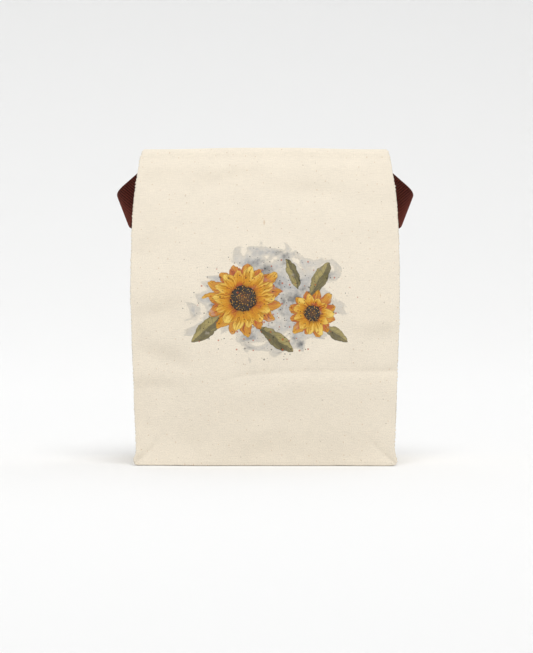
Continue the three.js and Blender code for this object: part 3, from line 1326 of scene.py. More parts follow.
@dataclass(frozen=True)
class PaperFinish:
    """Matt studio paper, white on the floor and painted a little greyer up the wall as painted shade."""

    name: str = "studio_paper"
    floor: Colour = (0.852, 0.852, 0.847)
    # Painted shade: the wall is given a greyer colour than the floor, so the sweep darkens upward
    wall: Colour = (0.774, 0.774, 0.769)
    fade_height: float = 115.0

    def material(self) -> bpy.types.Material:
        """Makes the material.

        Returns:
            The material.
        """
        n = Nodes(self.name)
        _, _, height = n.split(n.space())
        # The painted shade fades in with height above the floor
        white = n.math("EXPONENT", n.times(height, -1 / (self.fade_height * MM)))
        colour = n.mix(white, self.wall, self.floor)
        return n.finish(Base_Color=colour, Roughness=1.0, Specular_IOR_Level=0.0)


def register(
    piece: bpy.types.Object, material: bpy.types.Material, slot: Slot, *nodes: str
) -> bpy.types.Object:
    """Gives a piece its material and its place in the frame, and hides the CAD nodes that it stands for.

    Args:
        piece: The new piece.
        material: Its material.
        slot: The record's slot for its finish; not used.
        nodes: CAD nodes that it stands for.

    Returns:
        The piece.
    """
    piece.data.materials.append(material)
    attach(piece, BODY)
    if nodes:
        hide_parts(*nodes)
    return piece


@dataclass(frozen=True)
class Finishes:
    """The bag's materials, made once."""

    canvas: bpy.types.Material
    printed: bpy.types.Material
    thread: bpy.types.Material
    webbing: bpy.types.Material
    brown_thread: bpy.types.Material
    steel: bpy.types.Material

    @classmethod
    def make(cls) -> "Finishes":
        """Makes all of them.

        Returns:
            The materials.
        """
        return cls(
            canvas=CanvasFinish().material(),
            printed=CanvasFinish(name="printed_canvas", print_on=FlowerPrint()).material(),
            thread=ThreadFinish("cream_thread", (0.78, 0.70, 0.55)).material(),
            webbing=WebbingFinish().material(),
            brown_thread=ThreadFinish("brown_thread", (0.11, 0.042, 0.03)).material(),
            steel=SteelFinish().material(),
        )


@dataclass
class Panel:
    """A main panel of the sack, front or back, with its share of the flap.

    The bands and steps set how close the mesh's points lie. The scallops are the beads of the sewn edges,
    the lip is the dent above the foot's seam, the ears are the lower corners where they stand out sideways,
    and the corner values shape the slanting creases above them. Slackness dies away near the seams, the foot
    and the top fold, and the folds die away at the sides and under the top fold.
    """

    sack: Sack
    finishes: Finishes
    step: float = 1.5
    nominal_half: float = 104.0
    seam_band: float = 5.0
    seam_step: float = 0.5
    side_band: float = 12.0
    side_step: float = 0.9
    foot_band: float = 6.0
    foot_step: float = 0.4
    fold_step: float = 0.5
    scallop: float = 0.4
    scallop_pitch: float = 3.2
    scallop_reach: float = 1.2
    ragged: Wave = Wave(2.3, 1.6, 3)
    lip_depth: float = 0.16
    lip_hump: Hump = (1.6, 0.5)
    ear: float = 1.3
    ear_hump: Hump = (5.0, 3.0)
    ear_reach: float = 5.0
    corner_depth: float = 1.3
    corner_above: float = 2.6
    corner_below: float = 14.0
    corner_fade: Ramp = (24.0, 8.0)
    foot_height: float = 24.0
    foot_ease: float = 14.0
    flare: float = 0.5
    flare_height: float = 9.0
    tuck: float = 0.35
    tuck_height: float = 2.8
    foot_wave: Wave = Wave(26, 0.8, 13)
    foot_wave_height: float = 9.0
    foot_round: float = 1.1
    foot_round_height: float = 4.5
    foot_round_reach: float = 1.6
    calm_edge: Ramp = (0.0, 14.0)
    calm_foot: float = 18.0
    calm_top: Ramp = (2.0, -14.0)
    fold_edge: Ramp = (-14.0, 8.0)
    waves: tuple[Wave, ...] = (Wave(44, 1.0, 0), Wave(20, 0.5, 5), Wave(9, 0.13, 8, stretch=1.3))
    ripple: Wave = Wave(5, 0.05, 9)

    name: str = "front_panel"
    outward: int = 1
    seed: float = 1.0
    slack: float = 0.9
    folds: tuple[Fold, ...] = ()

    def across(self) -> Array:
        """Places across the panel, closer together at the seams.

        Returns:
            Shares of the half width, from -1 to 1.
        """
        half = stations(
            (0, self.seam_band, self.seam_step),
            (self.seam_band, self.side_band, self.side_step),
            (self.side_band, self.nominal_half, self.step),
        )
        share = 1 - half / self.nominal_half
        return np.concatenate([-share, share[-2::-1]])

    def along(self) -> Array:
        """Places along the panel, closer together at the foot and the fold.

        Returns:
            Distances along the fold line.
        """
        sack = self.sack
        return stations(
            (sack.sewn_foot, self.foot_band, self.foot_step),
            (self.foot_band, sack.rise, self.step),
            (sack.rise, sack.fold_end, self.fold_step),
            (sack.fold_end, sack.hem, 2 * self.step),
        )

    def thickness(self, along: Array) -> Array:
        """The cloth's thickness at each distance along the fold line."""
        return self.sack.canvas + 0 * along

    def ear_out(self, along: Array) -> Array:
        """How far the side edges stand out at the lower corners."""
        return self.ear * bell(along, *self.ear_hump)

    def foot_lift(self, along: Array) -> Array:
        """How far the lower corners are rounded up off the floor."""
        return self.foot_round * smooth(along, self.foot_round_height, self.sack.sewn_foot)

    def relief(self, x: Array, along: Array, edge: Array) -> Array:
        """How far folds, slackness and seams lift the panel.

        Args:
            x: Places across.
            along: Distances along the fold line.
            edge: Distances from the nearer side edge.

        Returns:
            The lift at each place.
        """
        sack = self.sack
        standing = smooth(along - sack.rise, *self.calm_top)
        folds = sum(fold.relief(x, along) for fold in self.folds)
        folds = folds * smooth(edge, *self.fold_edge) * standing
        calm = smooth(edge, *self.calm_edge) * smooth(along, sack.foot, self.calm_foot) * standing
        slack = self.slack * sum(wave.relief(x, along, self.seed) for wave in self.waves) * calm
        ripple = self.ripple.relief(x, along, self.seed)
        lip = -self.lip_depth * bell(along - sack.sewn_foot, *self.lip_hump)
        off_crease = (along - sack.foot - edge) / math.sqrt(2)
        flank = np.where(off_crease > 0, off_crease / self.corner_above, -off_crease / self.corner_below)
        corner = -self.corner_depth * np.exp(-flank) * smooth(edge, *self.corner_fade)
        tuck = -self.tuck * smooth(along, self.tuck_height, sack.sewn_foot)
        return folds + slack + ripple + lip + corner + tuck

    def depth(self, along: Array) -> Array:
        """How far the panel's middle is from the fold line, with a mild flare at its foot.

        Args:
            along: Distances along the fold line.

        Returns:
            The distance at each place.
        """
        low = self.foot_height
        wall = self.sack.wall((along + low + np.hypot(along - low, self.foot_ease)) / 2)
        flare = self.flare * np.maximum(1 - along / self.flare_height, 0) ** 2
        return (wall.front if self.outward > 0 else wall.back) + flare

    def edge_out(self, side: Side, along: Array) -> Array:
        """How far the panel's edge is from the fold line, which the seam and the gusset follow.

        Args:
            side: Which edge.
            along: Distances along the fold line.

        Returns:
            The distance at each place.
        """
        wall = self.sack.wall(along)
        x = side.value * self.outward * wall.half_width
        return self.depth(along) - wall.crown + self.relief(x, along, 0 * along)

    def foot_out(self, x: Array) -> Array:
        """How far the panel's lower edge is from the fold line, which the base follows.

        Args:
            x: Places across the bag.

        Returns:
            The distance at each place.
        """
        along = np.full_like(x, self.sack.sewn_foot)
        wall = self.sack.wall(along)
        edge = np.maximum(wall.half_width - np.abs(x), 0)
        lift = self.relief(x * self.outward, along, edge)
        return self.depth(along) - wall.crown * (x / wall.half_width) ** 2 + lift

    def _beading(self, share: Array, along: Array, edge: Array) -> Array:
        """How far the side edges stand out, in uneven beads and in the ears.

        Args:
            share: Places across, as shares of the half width.
            along: Distances along the fold line.
            edge: Distances from the nearer side edge.

        Returns:
            The distance at each place.
        """
        bead = np.cos(2 * math.pi * along / self.scallop_pitch) + self.ragged.relief(share, along, self.seed)
        beads = self.scallop * bead * np.exp(-edge / self.scallop_reach)
        return beads + np.exp(-edge / self.ear_reach) * self.ear_out(along)

    def build(self) -> bpy.types.Object:
        """Makes the panel.

        Returns:
            The panel's object.
        """
        along, share = np.meshgrid(self.along(), self.across(), indexing="ij")
        wall = self.sack.wall(along)
        edge = (1 - np.abs(share)) * wall.half_width
        x = share * wall.half_width + np.sign(share) * self._beading(share, along, edge)
        out = self.depth(along) - wall.crown * share**2 + self.relief(x, along, edge)
        middle = self.sack.place(x * self.outward, out * self.outward, along)
        wave = np.maximum(self.foot_wave.relief(x, 0 * along, self.seed), 0)
        middle[..., 2] += wave * smooth(along, self.foot_wave_height, self.sack.foot)
        middle[..., 2] += np.exp(-edge / self.foot_round_reach) * self.foot_lift(along)
        cloth = np.stack([x + BACK_CLOTH * (self.outward < 0), along], axis=-1)
        thickness = self.thickness(along)
        self.surface = middle + grid_normals(middle) * (thickness / 2)[..., None]
        made = Sheet(middle, cloth, thickness).object(f"{self.name}_cloth")
        material = self.finishes.printed if self.outward > 0 else self.finishes.canvas
        register(made, material, Slot.CANVAS, self.name)
        width = 2 * max(row.half_width for row in self.sack.rows())
        return made


@dataclass
class FrontPanel(Panel):
    """The front, with its own folds, the crease from packing flat and the hem on the flap.

    The crease starts left of the middle and runs to the right edge, where it is pinched deeper. It has a
    broad valley with a fine line in it, and each fades in round the start. The roll is the swelling below
    the top fold. The flap stands off where the strap leaves it free, and again at its hem.
    """

    crease_height: float = 75.0
    crease_drop: float = 8.4
    crease_curve: float = 24.0
    crease_start: float = -34.0
    crease_limit: float = -40.0
    crease_depth: float = 1.35
    crease_spread: float = 8.0
    crease_fade: Ramp = (-6.0, 26.0)
    crease_pinch: float = 0.7
    pinch_fade: Ramp = (50.0, 95.0)
    crease_line: float = 0.26
    crease_line_spread: float = 1.5
    crease_line_fade: Ramp = (-5.0, 8.0)
    roll: float = 7.8
    roll_rise: Ramp = (100.0, 226.0)
    roll_fall: Ramp = (262.0, 238.0)
    belly: float = 2.2
    belly_hump: Hump = (132.0, 28.0)
    hem_width: float = 12.0
    hem_extra: float = 0.9
    hem_turn: Ramp = (-0.8, 0.4)
    hem_band: float = 3.0
    hem_step: float = 0.5
    hem_end_step: float = 1.2
    hem_inset: float = 2.0
    hem_groove: float = 0.2
    hem_groove_spread: float = 0.8
    hem_free_points: int = 4
    flap_slack: float = 1.3
    flap_wave: Wave = Wave(36, 1.0, 17)
    flap_lift: float = 0.6
    stand_rise: Ramp = (2.0, 15.0)
    stand_fall: Ramp = (34.0, 22.0)
    hem_stand: float = 0.7
    hem_stand_rise: Ramp = (-8.0, 0.0)
    folds: tuple[Fold, ...] = (
        Fold(-92, 60, 28, 8, 130, 4, -2.6),
        Fold(-83, 82, 30, 13, 150, -22, -4.8),
        Fold(-36, 227, 30, 8, 10, 14, -3.1),
        Fold(34, 219, 34, 8, 10, -4, -3.2),
        Fold(-88, 230, 24, 9, 12, 8, -2.3),
        Fold(-92, 170, 30, 9, 12, 22, -2.3),
        Fold(-82, 120, 28, 9, 80, 14, -3.0),
        Fold(88, 114, 28, 20, 9, 5, 2.9),
        Fold(46, -2, 50, 24, 24, 3, -3.8),
        Fold(-18, -2, 30, 22, 20, 8, -3.0),
        Fold(-74, 18, 32, 18, 120, -14, -3.0),
        Fold(8, 47, 40, 10, 16, 8, -0.9),
    )

    @property
    def hem_line(self) -> float:
        """Where the turned hem ends, along the fold line."""
        return self.sack.hem - self.hem_width

    @property
    def hem_seam(self) -> float:
        """Where the hem is sewn, along the fold line."""
        return self.hem_line + self.hem_inset

    def along(self) -> Array:
        """Adds places at the hem's line.

        Returns:
            Distances along the fold line.
        """
        wide = super().along()
        start, end = self.hem_line - self.hem_band, self.hem_line + self.hem_band
        hem = stations((start + self.hem_step, end, self.hem_step), (end, self.sack.hem, self.hem_end_step))
        return np.concatenate([wide[wide < start], hem])

    def thickness(self, along: Array) -> Array:
        """Adds the layers of the turned hem to the cloth's thickness."""
        turned = smooth(along - self.hem_line, *self.hem_turn)
        return super().thickness(along) + self.hem_extra * turned

    def relief(self, x: Array, along: Array, edge: Array) -> Array:
        """Adds the packing crease, the belly, the soft roll into the top fold and the flap's own forms.

        Args:
            x: Places across.
            along: Distances along the fold line.
            edge: Distances from the nearer side edge.

        Returns:
            The lift at each place.
        """
        stretch = self.sack.outer / self.sack.fold_radius
        on_face = along + stretch * np.maximum(along - self.sack.rise, 0)
        roll = self.roll * smooth(along, *self.roll_rise) * smooth(on_face, *self.roll_fall)
        belly = self.belly * bell(along, *self.belly_hump)
        hem = -self.hem_groove * bell(along, self.hem_seam, self.hem_groove_spread)
        formed = self._crease(x, along) + roll + belly + hem + self._flap_slack(x, along)
        return super().relief(x, along, edge) + formed

    def _crease(self, x: Array, along: Array) -> Array:
        """How far the crease from packing flat dents the panel.

        Args:
            x: Places across.
            along: Distances along the fold line.

        Returns:
            The lift at each place, 0 or less.
        """
        past = x - self.crease_start
        height = self.crease_height - self.crease_drop * np.exp(
            -np.maximum(past, self.crease_limit) / self.crease_curve
        )
        away = np.abs(along - height)
        pinch = 1 + self.crease_pinch * smooth(x, *self.pinch_fade)
        valley = self.crease_depth * pinch * np.exp(-away / self.crease_spread)
        line = self.crease_line * np.exp(-away / self.crease_line_spread)
        valley = valley * smooth(past, *self.crease_fade)
        line = line * smooth(past, *self.crease_line_fade)
        return -valley - line

    def _flap_slack(self, x: Array, along: Array) -> Array:
        """How far the flap stands off above the strap and at its hem.

        Args:
            x: Places across.
            along: Distances along the fold line.

        Returns:
            The lift at each place.
        """
        past = along - self.sack.fold_end
        above_strap = smooth(past, *self.stand_rise) * smooth(past, *self.stand_fall)
        at_hem = self.hem_stand * smooth(along - self.sack.hem, *self.hem_stand_rise)
        wave = self.flap_lift + self.flap_wave.relief(x, along, self.seed)
        return self.flap_slack * np.maximum(wave, 0) * (above_strap + at_hem)

    def stitch(self) -> bpy.types.Object:
        """Sews the hem.

        Returns:
            The stitching's object.
        """
        row = np.argmin(np.abs(self.along() - self.hem_seam))
        line = np.s_[row, self.hem_free_points : -self.hem_free_points]
        made = joined("hem_stitching", [Stitch().row(self.surface[line], grid_normals(self.surface)[line])])
        return register(made, self.finishes.thread, Slot.CANVAS)


@dataclass
class BackPanel(Panel):
    """The back, plainly finished, with a few soft folds of its own."""

    name: str = "back_panel"
    outward: int = -1
    seed: float = 21.0
    slack: float = 1.2
    folds: tuple[Fold, ...] = (
        Fold(-64, 74, 40, 6, 12, -4, -2.2),
        Fold(58, 70, 46, 5, 11, 5, -2.4),
        Fold(-44, 142, 36, 9, 15, 20, -3.0),
        Fold(52, 116, 34, 9, 14, -22, -2.8),
        Fold(84, 158, 26, 9, 12, -30, -2.4),
        Fold(-86, 104, 24, 9, 12, 34, -2.4),
        Fold(6, 34, 42, 10, 14, 5, -2.2),
        Fold(-20, 176, 40, 9, 12, -8, -2.2),
    )


@dataclass
class Seams:
    """The stitching along the edges where the panels and gussets are sewn together."""

    sack: Sack
    finishes: Finishes
    front: Panel
    back: Panel
    stitch: Stitch = Stitch()
    proud: float = 0.3
    start: float = 9.0
    end_gap: float = 2.0
    points: int = 500

    def build(self) -> bpy.types.Object:
        """Sews the four upright seams.

        Returns:
            The stitching's object.
        """
        sack = self.sack
        along = np.linspace(self.start, sack.hem - self.end_gap, self.points)
        reach = sack.wall(along).half_width + self.proud
        rows = []
        for side in Side:
            outward = np.tile([float(side.value), 0.0, 0.0], (len(along), 1))
            for panel in (self.front, self.back):
                out = panel.edge_out(side, along) - sack.layer / 2
                path = sack.place(side.value * reach, panel.outward * out, along)
                rows.append(self.stitch.row(path, outward))
        return register(joined("seam_stitching", rows), self.finishes.thread, Slot.CANVAS)


@dataclass
class Gusset:
    """A pleated side of the sack, whose edges run out into the seams with the panels.

    An upright crease runs up the pleat from crease_start, and two slanting ones run down from there to the
    lower corners. The groove is the dent of the seam along the foot. The points, bands and steps set how
    close the mesh's points lie.
    """

    sack: Sack
    finishes: Finishes
    side: Side
    front: Panel
    back: Panel
    half_depth: float = 70.0
    lap: float = 1.4
    step: float = 1.7
    foot_band: float = 8.0
    foot_step: float = 0.6
    fold_step: float = 0.7
    flap_step: float = 4.0
    hem_gap: float = 1.0
    leg_points: int = 40
    tip_points: int = 13
    flange_points: int = 4
    flange_start: float = 0.4
    flange_gap: float = 0.2
    crease_start: float = 70.0
    crease_depth: float = 1.5
    crease_spread: float = 3.2
    crease_fade: Ramp = (-8.0, 10.0)
    slant_spread: float = 2.2
    slant_edge: Ramp = (0.0, 8.0)
    slant_middle: Ramp = (0.0, 6.0)
    slack: float = 1.1
    waves: tuple[Wave, ...] = (Wave(38, 1.0, 0), Wave(15, 0.4, 3))
    ripple: Wave = Wave(6, 0.04, 6)
    seed: float = 40.0
    seeds_apart: float = 7.0
    calm_edge: Ramp = (2.0, 18.0)
    calm_foot: float = 16.0
    calm_top: Ramp = (-20.0, -79.5)
    groove: float = 0.45
    groove_height: float = 2.3
    groove_spread: float = 0.7
    groove_edge: Ramp = (0.0, 6.0)
    corner_rise: Ramp = (-2.0, 1.5)
    stitch_inset: float = 4.0

    def sections(self, along: Array) -> tuple[Array, Array, Array]:
        """The gusset's section at each station, from the front seam to the back seam.

        Each section has five parts: the front flange and leg, the tip of the pleat, the back leg and flange.

        Args:
            along: Distances along the fold line.

        Returns:
            Grids of the reach from the bag's middle, the distance out of the fold line, and the place
            on the flat cloth.
        """
        wall = self.sack.wall(along[:, None])
        ridge = self.sack.seam_ridge
        share = np.linspace(1, 0, self.leg_points)[None, :]
        flange = np.linspace(ridge - self.flange_gap, self.flange_start, self.flange_points)[None, :]
        angle = np.linspace(0, math.pi, self.tip_points)[None, 1:-1]
        seams = [panel.edge_out(self.side, along)[:, None] - self.lap for panel in (self.front, self.back)]
        legs = [wall.crease + (seam - wall.crease) * share for seam in seams]
        lips = [seam + 0 * flange for seam in seams]
        out = [lips[0], legs[0], wall.crease * np.cos(angle), -legs[1][:, ::-1], -lips[1]]
        seam_reach = wall.half_width - ridge
        lip_reach = seam_reach + flange + self.front.ear_out(along[:, None])
        leg_reach = seam_reach - wall.pleat * (1 - share**wall.bow)
        tip_reach = seam_reach - wall.pleat - wall.crease * (2 - wall.bow) * np.sin(angle)
        reach = [lip_reach, leg_reach, tip_reach, leg_reach[:, ::-1], lip_reach[:, ::-1]]
        half_tip = wall.crease * (1 + (2 - wall.bow) * (math.pi / 2 - 1))
        on_lip = self.half_depth + flange
        on_leg = half_tip + (self.half_depth - half_tip) * share
        flat = [on_lip, on_leg, half_tip * np.cos(angle), -on_leg[:, ::-1], -on_lip[:, ::-1]]
        return tuple(
            np.concatenate([np.broadcast_to(part, (len(along), part.shape[1])) for part in parts], axis=1)
            for parts in (reach, out, flat)
        )

    def relief(self, flat: Array, along: Array) -> Array:
        """How far creases and slackness lift the gusset.

        Args:
            flat: Places across the flat cloth.
            along: Distances along the fold line.

        Returns:
            The lift at each place.
        """
        sack, aside = self.sack, np.abs(flat)
        edge = self.half_depth - aside
        upright = -self.crease_depth * np.exp(-aside / self.crease_spread)
        upright = upright * smooth(along - self.crease_start, *self.crease_fade)
        slant = np.abs(along / self.crease_start + aside / self.half_depth - 1)
        slant = slant * self.crease_start / math.sqrt(2)
        fold = self.crease_depth * np.exp(-slant / self.slant_spread)
        fold = fold * smooth(edge, *self.slant_edge) * smooth(aside, *self.slant_middle)
        calm = smooth(edge, *self.calm_edge) * smooth(along, sack.foot, self.calm_foot)
        calm = calm * smooth(along - sack.rise, *self.calm_top)
        seed = self.seed + self.seeds_apart * self.side.value
        slack = self.slack * sum(wave.relief(flat, along, seed) for wave in self.waves) * calm
        ripple = self.ripple.relief(flat, along, seed)
        groove = self.groove * bell(along - sack.foot, self.groove_height, self.groove_spread)
        return upright + fold + slack + ripple - groove * smooth(edge, *self.groove_edge)

    def build(self) -> bpy.types.Object:
        """Makes the gusset.

        Returns:
            The gusset's object.
        """
        sack = self.sack
        along = stations(
            (sack.sewn_foot, self.foot_band, self.foot_step),
            (self.foot_band, sack.rise, self.step),
            (sack.rise, sack.fold_end, self.fold_step),
            (sack.fold_end, sack.hem - self.hem_gap, self.flap_step),
        )
        reach, out, flat = self.sections(along)
        if self.side is Side.LEFT:
            reach, out, flat = reach[:, ::-1], out[:, ::-1], flat[:, ::-1]
        along_grid = np.broadcast_to(along[:, None], reach.shape)
        middle = sack.place(self.side.value * reach, out, along_grid)
        middle = middle + grid_normals(middle) * self.relief(flat, along_grid)[..., None]
        at_corner = smooth(np.abs(flat) - self.half_depth, *self.corner_rise)
        middle[..., 2] += at_corner * self.front.foot_lift(along_grid)
        self.surface, self.flat = middle + grid_normals(middle) * sack.canvas / 2, flat
        cloth = np.stack([flat + SIDE_CLOTH + SIDES_APART * self.side.value, along_grid], axis=-1)
        name = f"{self.side.word}_gusset"
        made = Sheet(middle, cloth, sack.canvas).object(f"{name}_cloth")
        register(made, self.finishes.canvas, Slot.CANVAS, name)
        return made

    def stitch(self) -> bpy.types.Object:
        """Sews the gusset's foot to the base.

        Returns:
            The stitching's object.
        """
        normals = grid_normals(self.surface)
        row = np.argmin(np.abs(self.surface[:, 0, 2] - self.sack.foot - self.groove_height))
        inside = np.flatnonzero(np.abs(self.flat[0]) < self.half_depth - self.stitch_inset)
        line = np.s_[row, inside[0] : inside[-1] + 1]
        made = joined(f"{self.side.word}_gusset_stitching", [Stitch().row(self.surface[line], normals[line])])
        return register(made, self.finishes.thread, Slot.CANVAS)


@dataclass
class BasePanel:
    """The flat base, sewn in just inside the walls' lower edge and lifted a little in its middle."""

    sack: Sack
    finishes: Finishes
    front: Panel
    back: Panel
    step: float = 2.5
    dome: float = 0.5
    dome_edge: Ramp = (4.0, 40.0)
    wave: Wave = Wave(30, 0.4, 61)
    side_tuck: float = 3.6
    end_tuck: float = 1.5
    name: str = "base_panel"

    def build(self) -> bpy.types.Object:
        """Makes the base.

        Returns:
            The base's object.
        """
        sack = self.sack
        half_x = sack.base_half_width - self.side_tuck
        from_front = stations((0, 1, self.step / (2 * sack.base_half_depth)))
        share, x = np.meshgrid(from_front, stations((-half_x, half_x, self.step)), indexing="ij")
        over = np.maximum(np.abs(x) - half_x + sack.base_corner, 0)
        cut = sack.base_corner - np.sqrt(np.maximum(sack.base_corner**2 - over**2, 0)) + self.end_tuck
        front_y, back_y = cut - self.front.foot_out(x), self.back.foot_out(x) - cut
        y = front_y + share * (back_y - front_y)
        edge = np.minimum(half_x - np.abs(x), np.minimum(y - front_y, back_y - y))
        lift = self.dome * smooth(edge, *self.dome_edge) * (1 + self.wave.relief(x, y))
        middle = np.stack([x, y, sack.canvas / 2 + np.maximum(lift, 0)], axis=-1)
        cloth = np.stack([x + BASE_CLOTH, y], axis=-1)
        made = Sheet(middle, cloth, sack.canvas).object(f"{self.name}_cloth")
        register(made, self.finishes.canvas, Slot.CANVAS, self.name)
        return made


@dataclass(frozen=True)
class StrapRoute:
    """The way that both halves of the strap take, from the pleat round the edge to the ring at the back."""

    sack: Sack
    width: float = 27.0
    thickness: float = 1.6
    tilt: float = math.radians(19.5)
    turn_radius: float = 8.0
    turn_reach: float = 109.4
    height: float = 205.0
    sewn_length: float = 14.0
    bar: float = 3.0
    bar_offset: float = 7.0
    tail_settle: float = 14.0
    sewn_tail: float = 22.0
    free_tail: float = 46.0

    @property
    def clear(self) -> float:
        """From the middle of the canvas below to the middle of the strap."""
        return (self.sack.canvas + self.thickness) / 2 + self.sack.gap

    @property
    def bar_loop(self) -> float:
        """Radius of the strap's loop round a bar of the ring."""
        return self.bar / 2 + self.sack.gap + self.thickness / 2

    @property
    def tail_lift(self) -> float:
        """Height of a folded-back end above the strap."""
        return self.thickness + 2 * self.sack.gap

    @property
    def to_bar(self) -> float:
        """From where the turn starts to the ring's bar."""
        return self.turn_reach - self.bar_offset

    @property
    def loop_end(self) -> float:
        """Where the loop round the bar ends and the tail starts."""
        return -self.to_bar - math.pi * self.bar_loop

    @property
    def sewn_end(self) -> float:
        """Where the strap ends in the pleat."""
        turn = math.pi * self.turn_radius / math.cos(self.tilt)
        return turn + self.width * math.tan(self.tilt) + self.sewn_length

    def point(self, along: Array, across: Array) -> Array:
        """Points of the right-hand half, by distances from the turn to the pleat and down the strap."""
        on_tail = (along < -self.to_bar)[..., None]
        return np.where(on_tail, self._tail(-along - self.to_bar, across), self._wrap(along, across))

    def _wrap(self, along: Array, across: Array) -> Array:
        """The run across the back, the turn round the bag's edge and the end in the pleat.

        Args:
            along: Distances from where the turn starts.
            across: Distances down from the strap's middle.

        Returns:
            The points.
        """
        cos, sin = math.cos(self.tilt), math.sin(self.tilt)
        round_edge = along * cos + across * sin
        down = across * cos - along * sin
        turn = np.clip(round_edge / self.turn_radius, 0, math.pi)
        past_turn = np.minimum(math.pi * self.turn_radius - round_edge, 0)
        straight = np.where(round_edge < 0, round_edge, past_turn)
        outward = straight + self.turn_radius * np.sin(turn)
        in_pleat = (1 - np.cos(turn)) / 2
        reach = self.turn_reach + outward * cos - down * sin
        squeeze = math.cos(self.sack.flap_lean) * (1 - in_pleat) + in_pleat
        z = self.height - (outward * sin + down * cos) * squeeze
        behind = self.sack.flap_face(z, self.clear)
        y = behind + (self.sack.pleat_face(reach, z, self.clear) - behind) * in_pleat
        return np.stack([reach, y, z], axis=-1)

    def _tail(self, past: Array, across: Array) -> Array:
        """The loop round the ring's bar and the end that lies back on the strap.

        Args:
            past: Distances past the bar.
            across: Distances down from the strap's middle.

        Returns:
            The points.
        """
        turn = np.clip(past / self.bar_loop, 0, math.pi)
        back = np.maximum(past - math.pi * self.bar_loop, 0)
        settled = smooth(back, 0, self.tail_settle)
        lift = self.bar_loop * (1 - np.cos(turn)) - (2 * self.bar_loop - self.tail_lift) * settled
        z = self.height - across * math.cos(self.sack.flap_lean)
        reach = self.bar_offset - self.bar_loop * np.sin(turn) + back
        y = self.sack.flap_face(z, self.clear) + lift * math.cos(self.sack.flap_lean)
        return np.stack([reach, y, z + lift * math.sin(self.sack.flap_lean)], axis=-1)


@dataclass
class StrapHalf:
    """One half of the webbing strap, with ribs across it and a knobbed selvage along each edge."""

    route: StrapRoute
    finishes: Finishes
    side: Side
    ribs: Ribs = Ribs()
    rib_height: float = 0.22
    selvage: float = 1.6
    selvage_ease: float = 0.5
    selvage_extra: float = 0.12
    knob: float = 0.14
    knob_pitch: float = 2.0
    rim_depth: float = 0.55
    rim_fade: Ramp = (0.5, 0.0)
    step: float = 0.27
    inner_step: float = 1.2
    selvage_step: float = 0.32
    stitch_style: Stitch = Stitch(pitch=2.8, length=2.0, thread=0.55)
    stitch_edge: float = 3.0
    box_near: float = 2.5
    box_far: float = 4.0
    free_rows: tuple[float, ...] = (3.0, 6.0)
    line_points: int = 40
    probe: float = 0.2

    @property
    def tail(self) -> float:
        """Length of the folded-back end, which is sewn down on the left and free on the right."""
        return self.route.sewn_tail if self.side is Side.LEFT else self.route.free_tail

    @property
    def end(self) -> float:
        """Where the folded-back end stops."""
        return self.route.loop_end - self.tail

    def grid(self) -> tuple[Array, Array]:
        """The strap's grid.

        Returns:
            Distances along and across.
        """
        half = self.route.width / 2
        inner = half - self.selvage
        along = stations((self.end, self.route.sewn_end, self.step))
        across = stations(
            (half, inner, self.selvage_step),
            (inner, -inner, self.inner_step),
            (-inner, -half, self.selvage_step),
        )
        return np.meshgrid(along, across, indexing="ij")

    def build(self) -> bpy.types.Object:
        """Makes the strap.

        Returns:
            The strap's object.
        """
        along, across = self.grid()
        if self.side is Side.LEFT:
            along, across = along[:, ::-1], across[:, ::-1]
        middle = self.route.point(along, across) * [self.side.value, 1, 1]
        edge = self.route.width / 2 - np.abs(across)
        rib = np.cos(self.ribs.along * along + self.ribs.across * across)
        knob = np.cos(2 * math.pi * along / self.knob_pitch)
        on_selvage = smooth(edge, self.selvage, self.selvage - self.selvage_ease)
        thickness = self.route.thickness - 2 * self.rib_height + 2 * self.rib_height * rib * (1 - on_selvage)
        thickness = thickness + on_selvage * (self.selvage_extra + self.knob * knob)
        thickness = thickness - self.rim_depth * smooth(edge, *self.rim_fade)
        cloth = np.stack([across, along], axis=-1)
        name = f"{self.side.word}_strap"
        made = Sheet(middle, cloth, thickness, outer_share=0.5).object(f"{name}_webbing")
        return register(made, self.finishes.webbing, Slot.WEBBING, name)

    def stitch(self) -> bpy.types.Object:
        """Sews the folded-back end: a crossed box where it is sewn down, or two rows across a free end.

        Returns:
            The stitching's object.
        """
        half = self.route.width / 2 - self.stitch_edge
        if self.side is Side.LEFT:
            near, far = self.end + self.box_near, self.end + self.tail - self.box_far
            corners = [(near, -half), (far, -half), (far, half), (near, half), (near, -half), (far, half)]
            lines = [*zip(corners[:-1], corners[1:]), ((near, half), (far, -half))]
        else:
            lines = [((self.end + inset, -half), (self.end + inset, half)) for inset in self.free_rows]
        rows = [self.stitch_style.row(*self._on_face(start, stop)) for start, stop in lines]
        made = joined(f"{self.side.word}_strap_stitching", rows)
        return register(made, self.finishes.brown_thread, Slot.WEBBING)

    def _on_face(self, start: tuple[float, float], stop: tuple[float, float]) -> tuple[Array, Array]:
        """A straight line on the strap's outer face.

        Args:
            start: Along and across at its start.
            stop: Along and across at its end.

        Returns:
            The line's points and the face's normals there.
        """
        along = np.linspace(start[0], stop[0], self.line_points)
        across = np.linspace(start[1], stop[1], self.line_points)
        flip = [self.side.value, 1, 1]
        points = self.route.point(along, across) * flip
        ahead = self.route.point(along + self.probe, across) * flip - points
        aside = self.route.point(along, across + self.probe) * flip - points
        normals = unit(np.cross(ahead, aside)) * self.side.value
        return points + normals * self.route.thickness / 2, normals


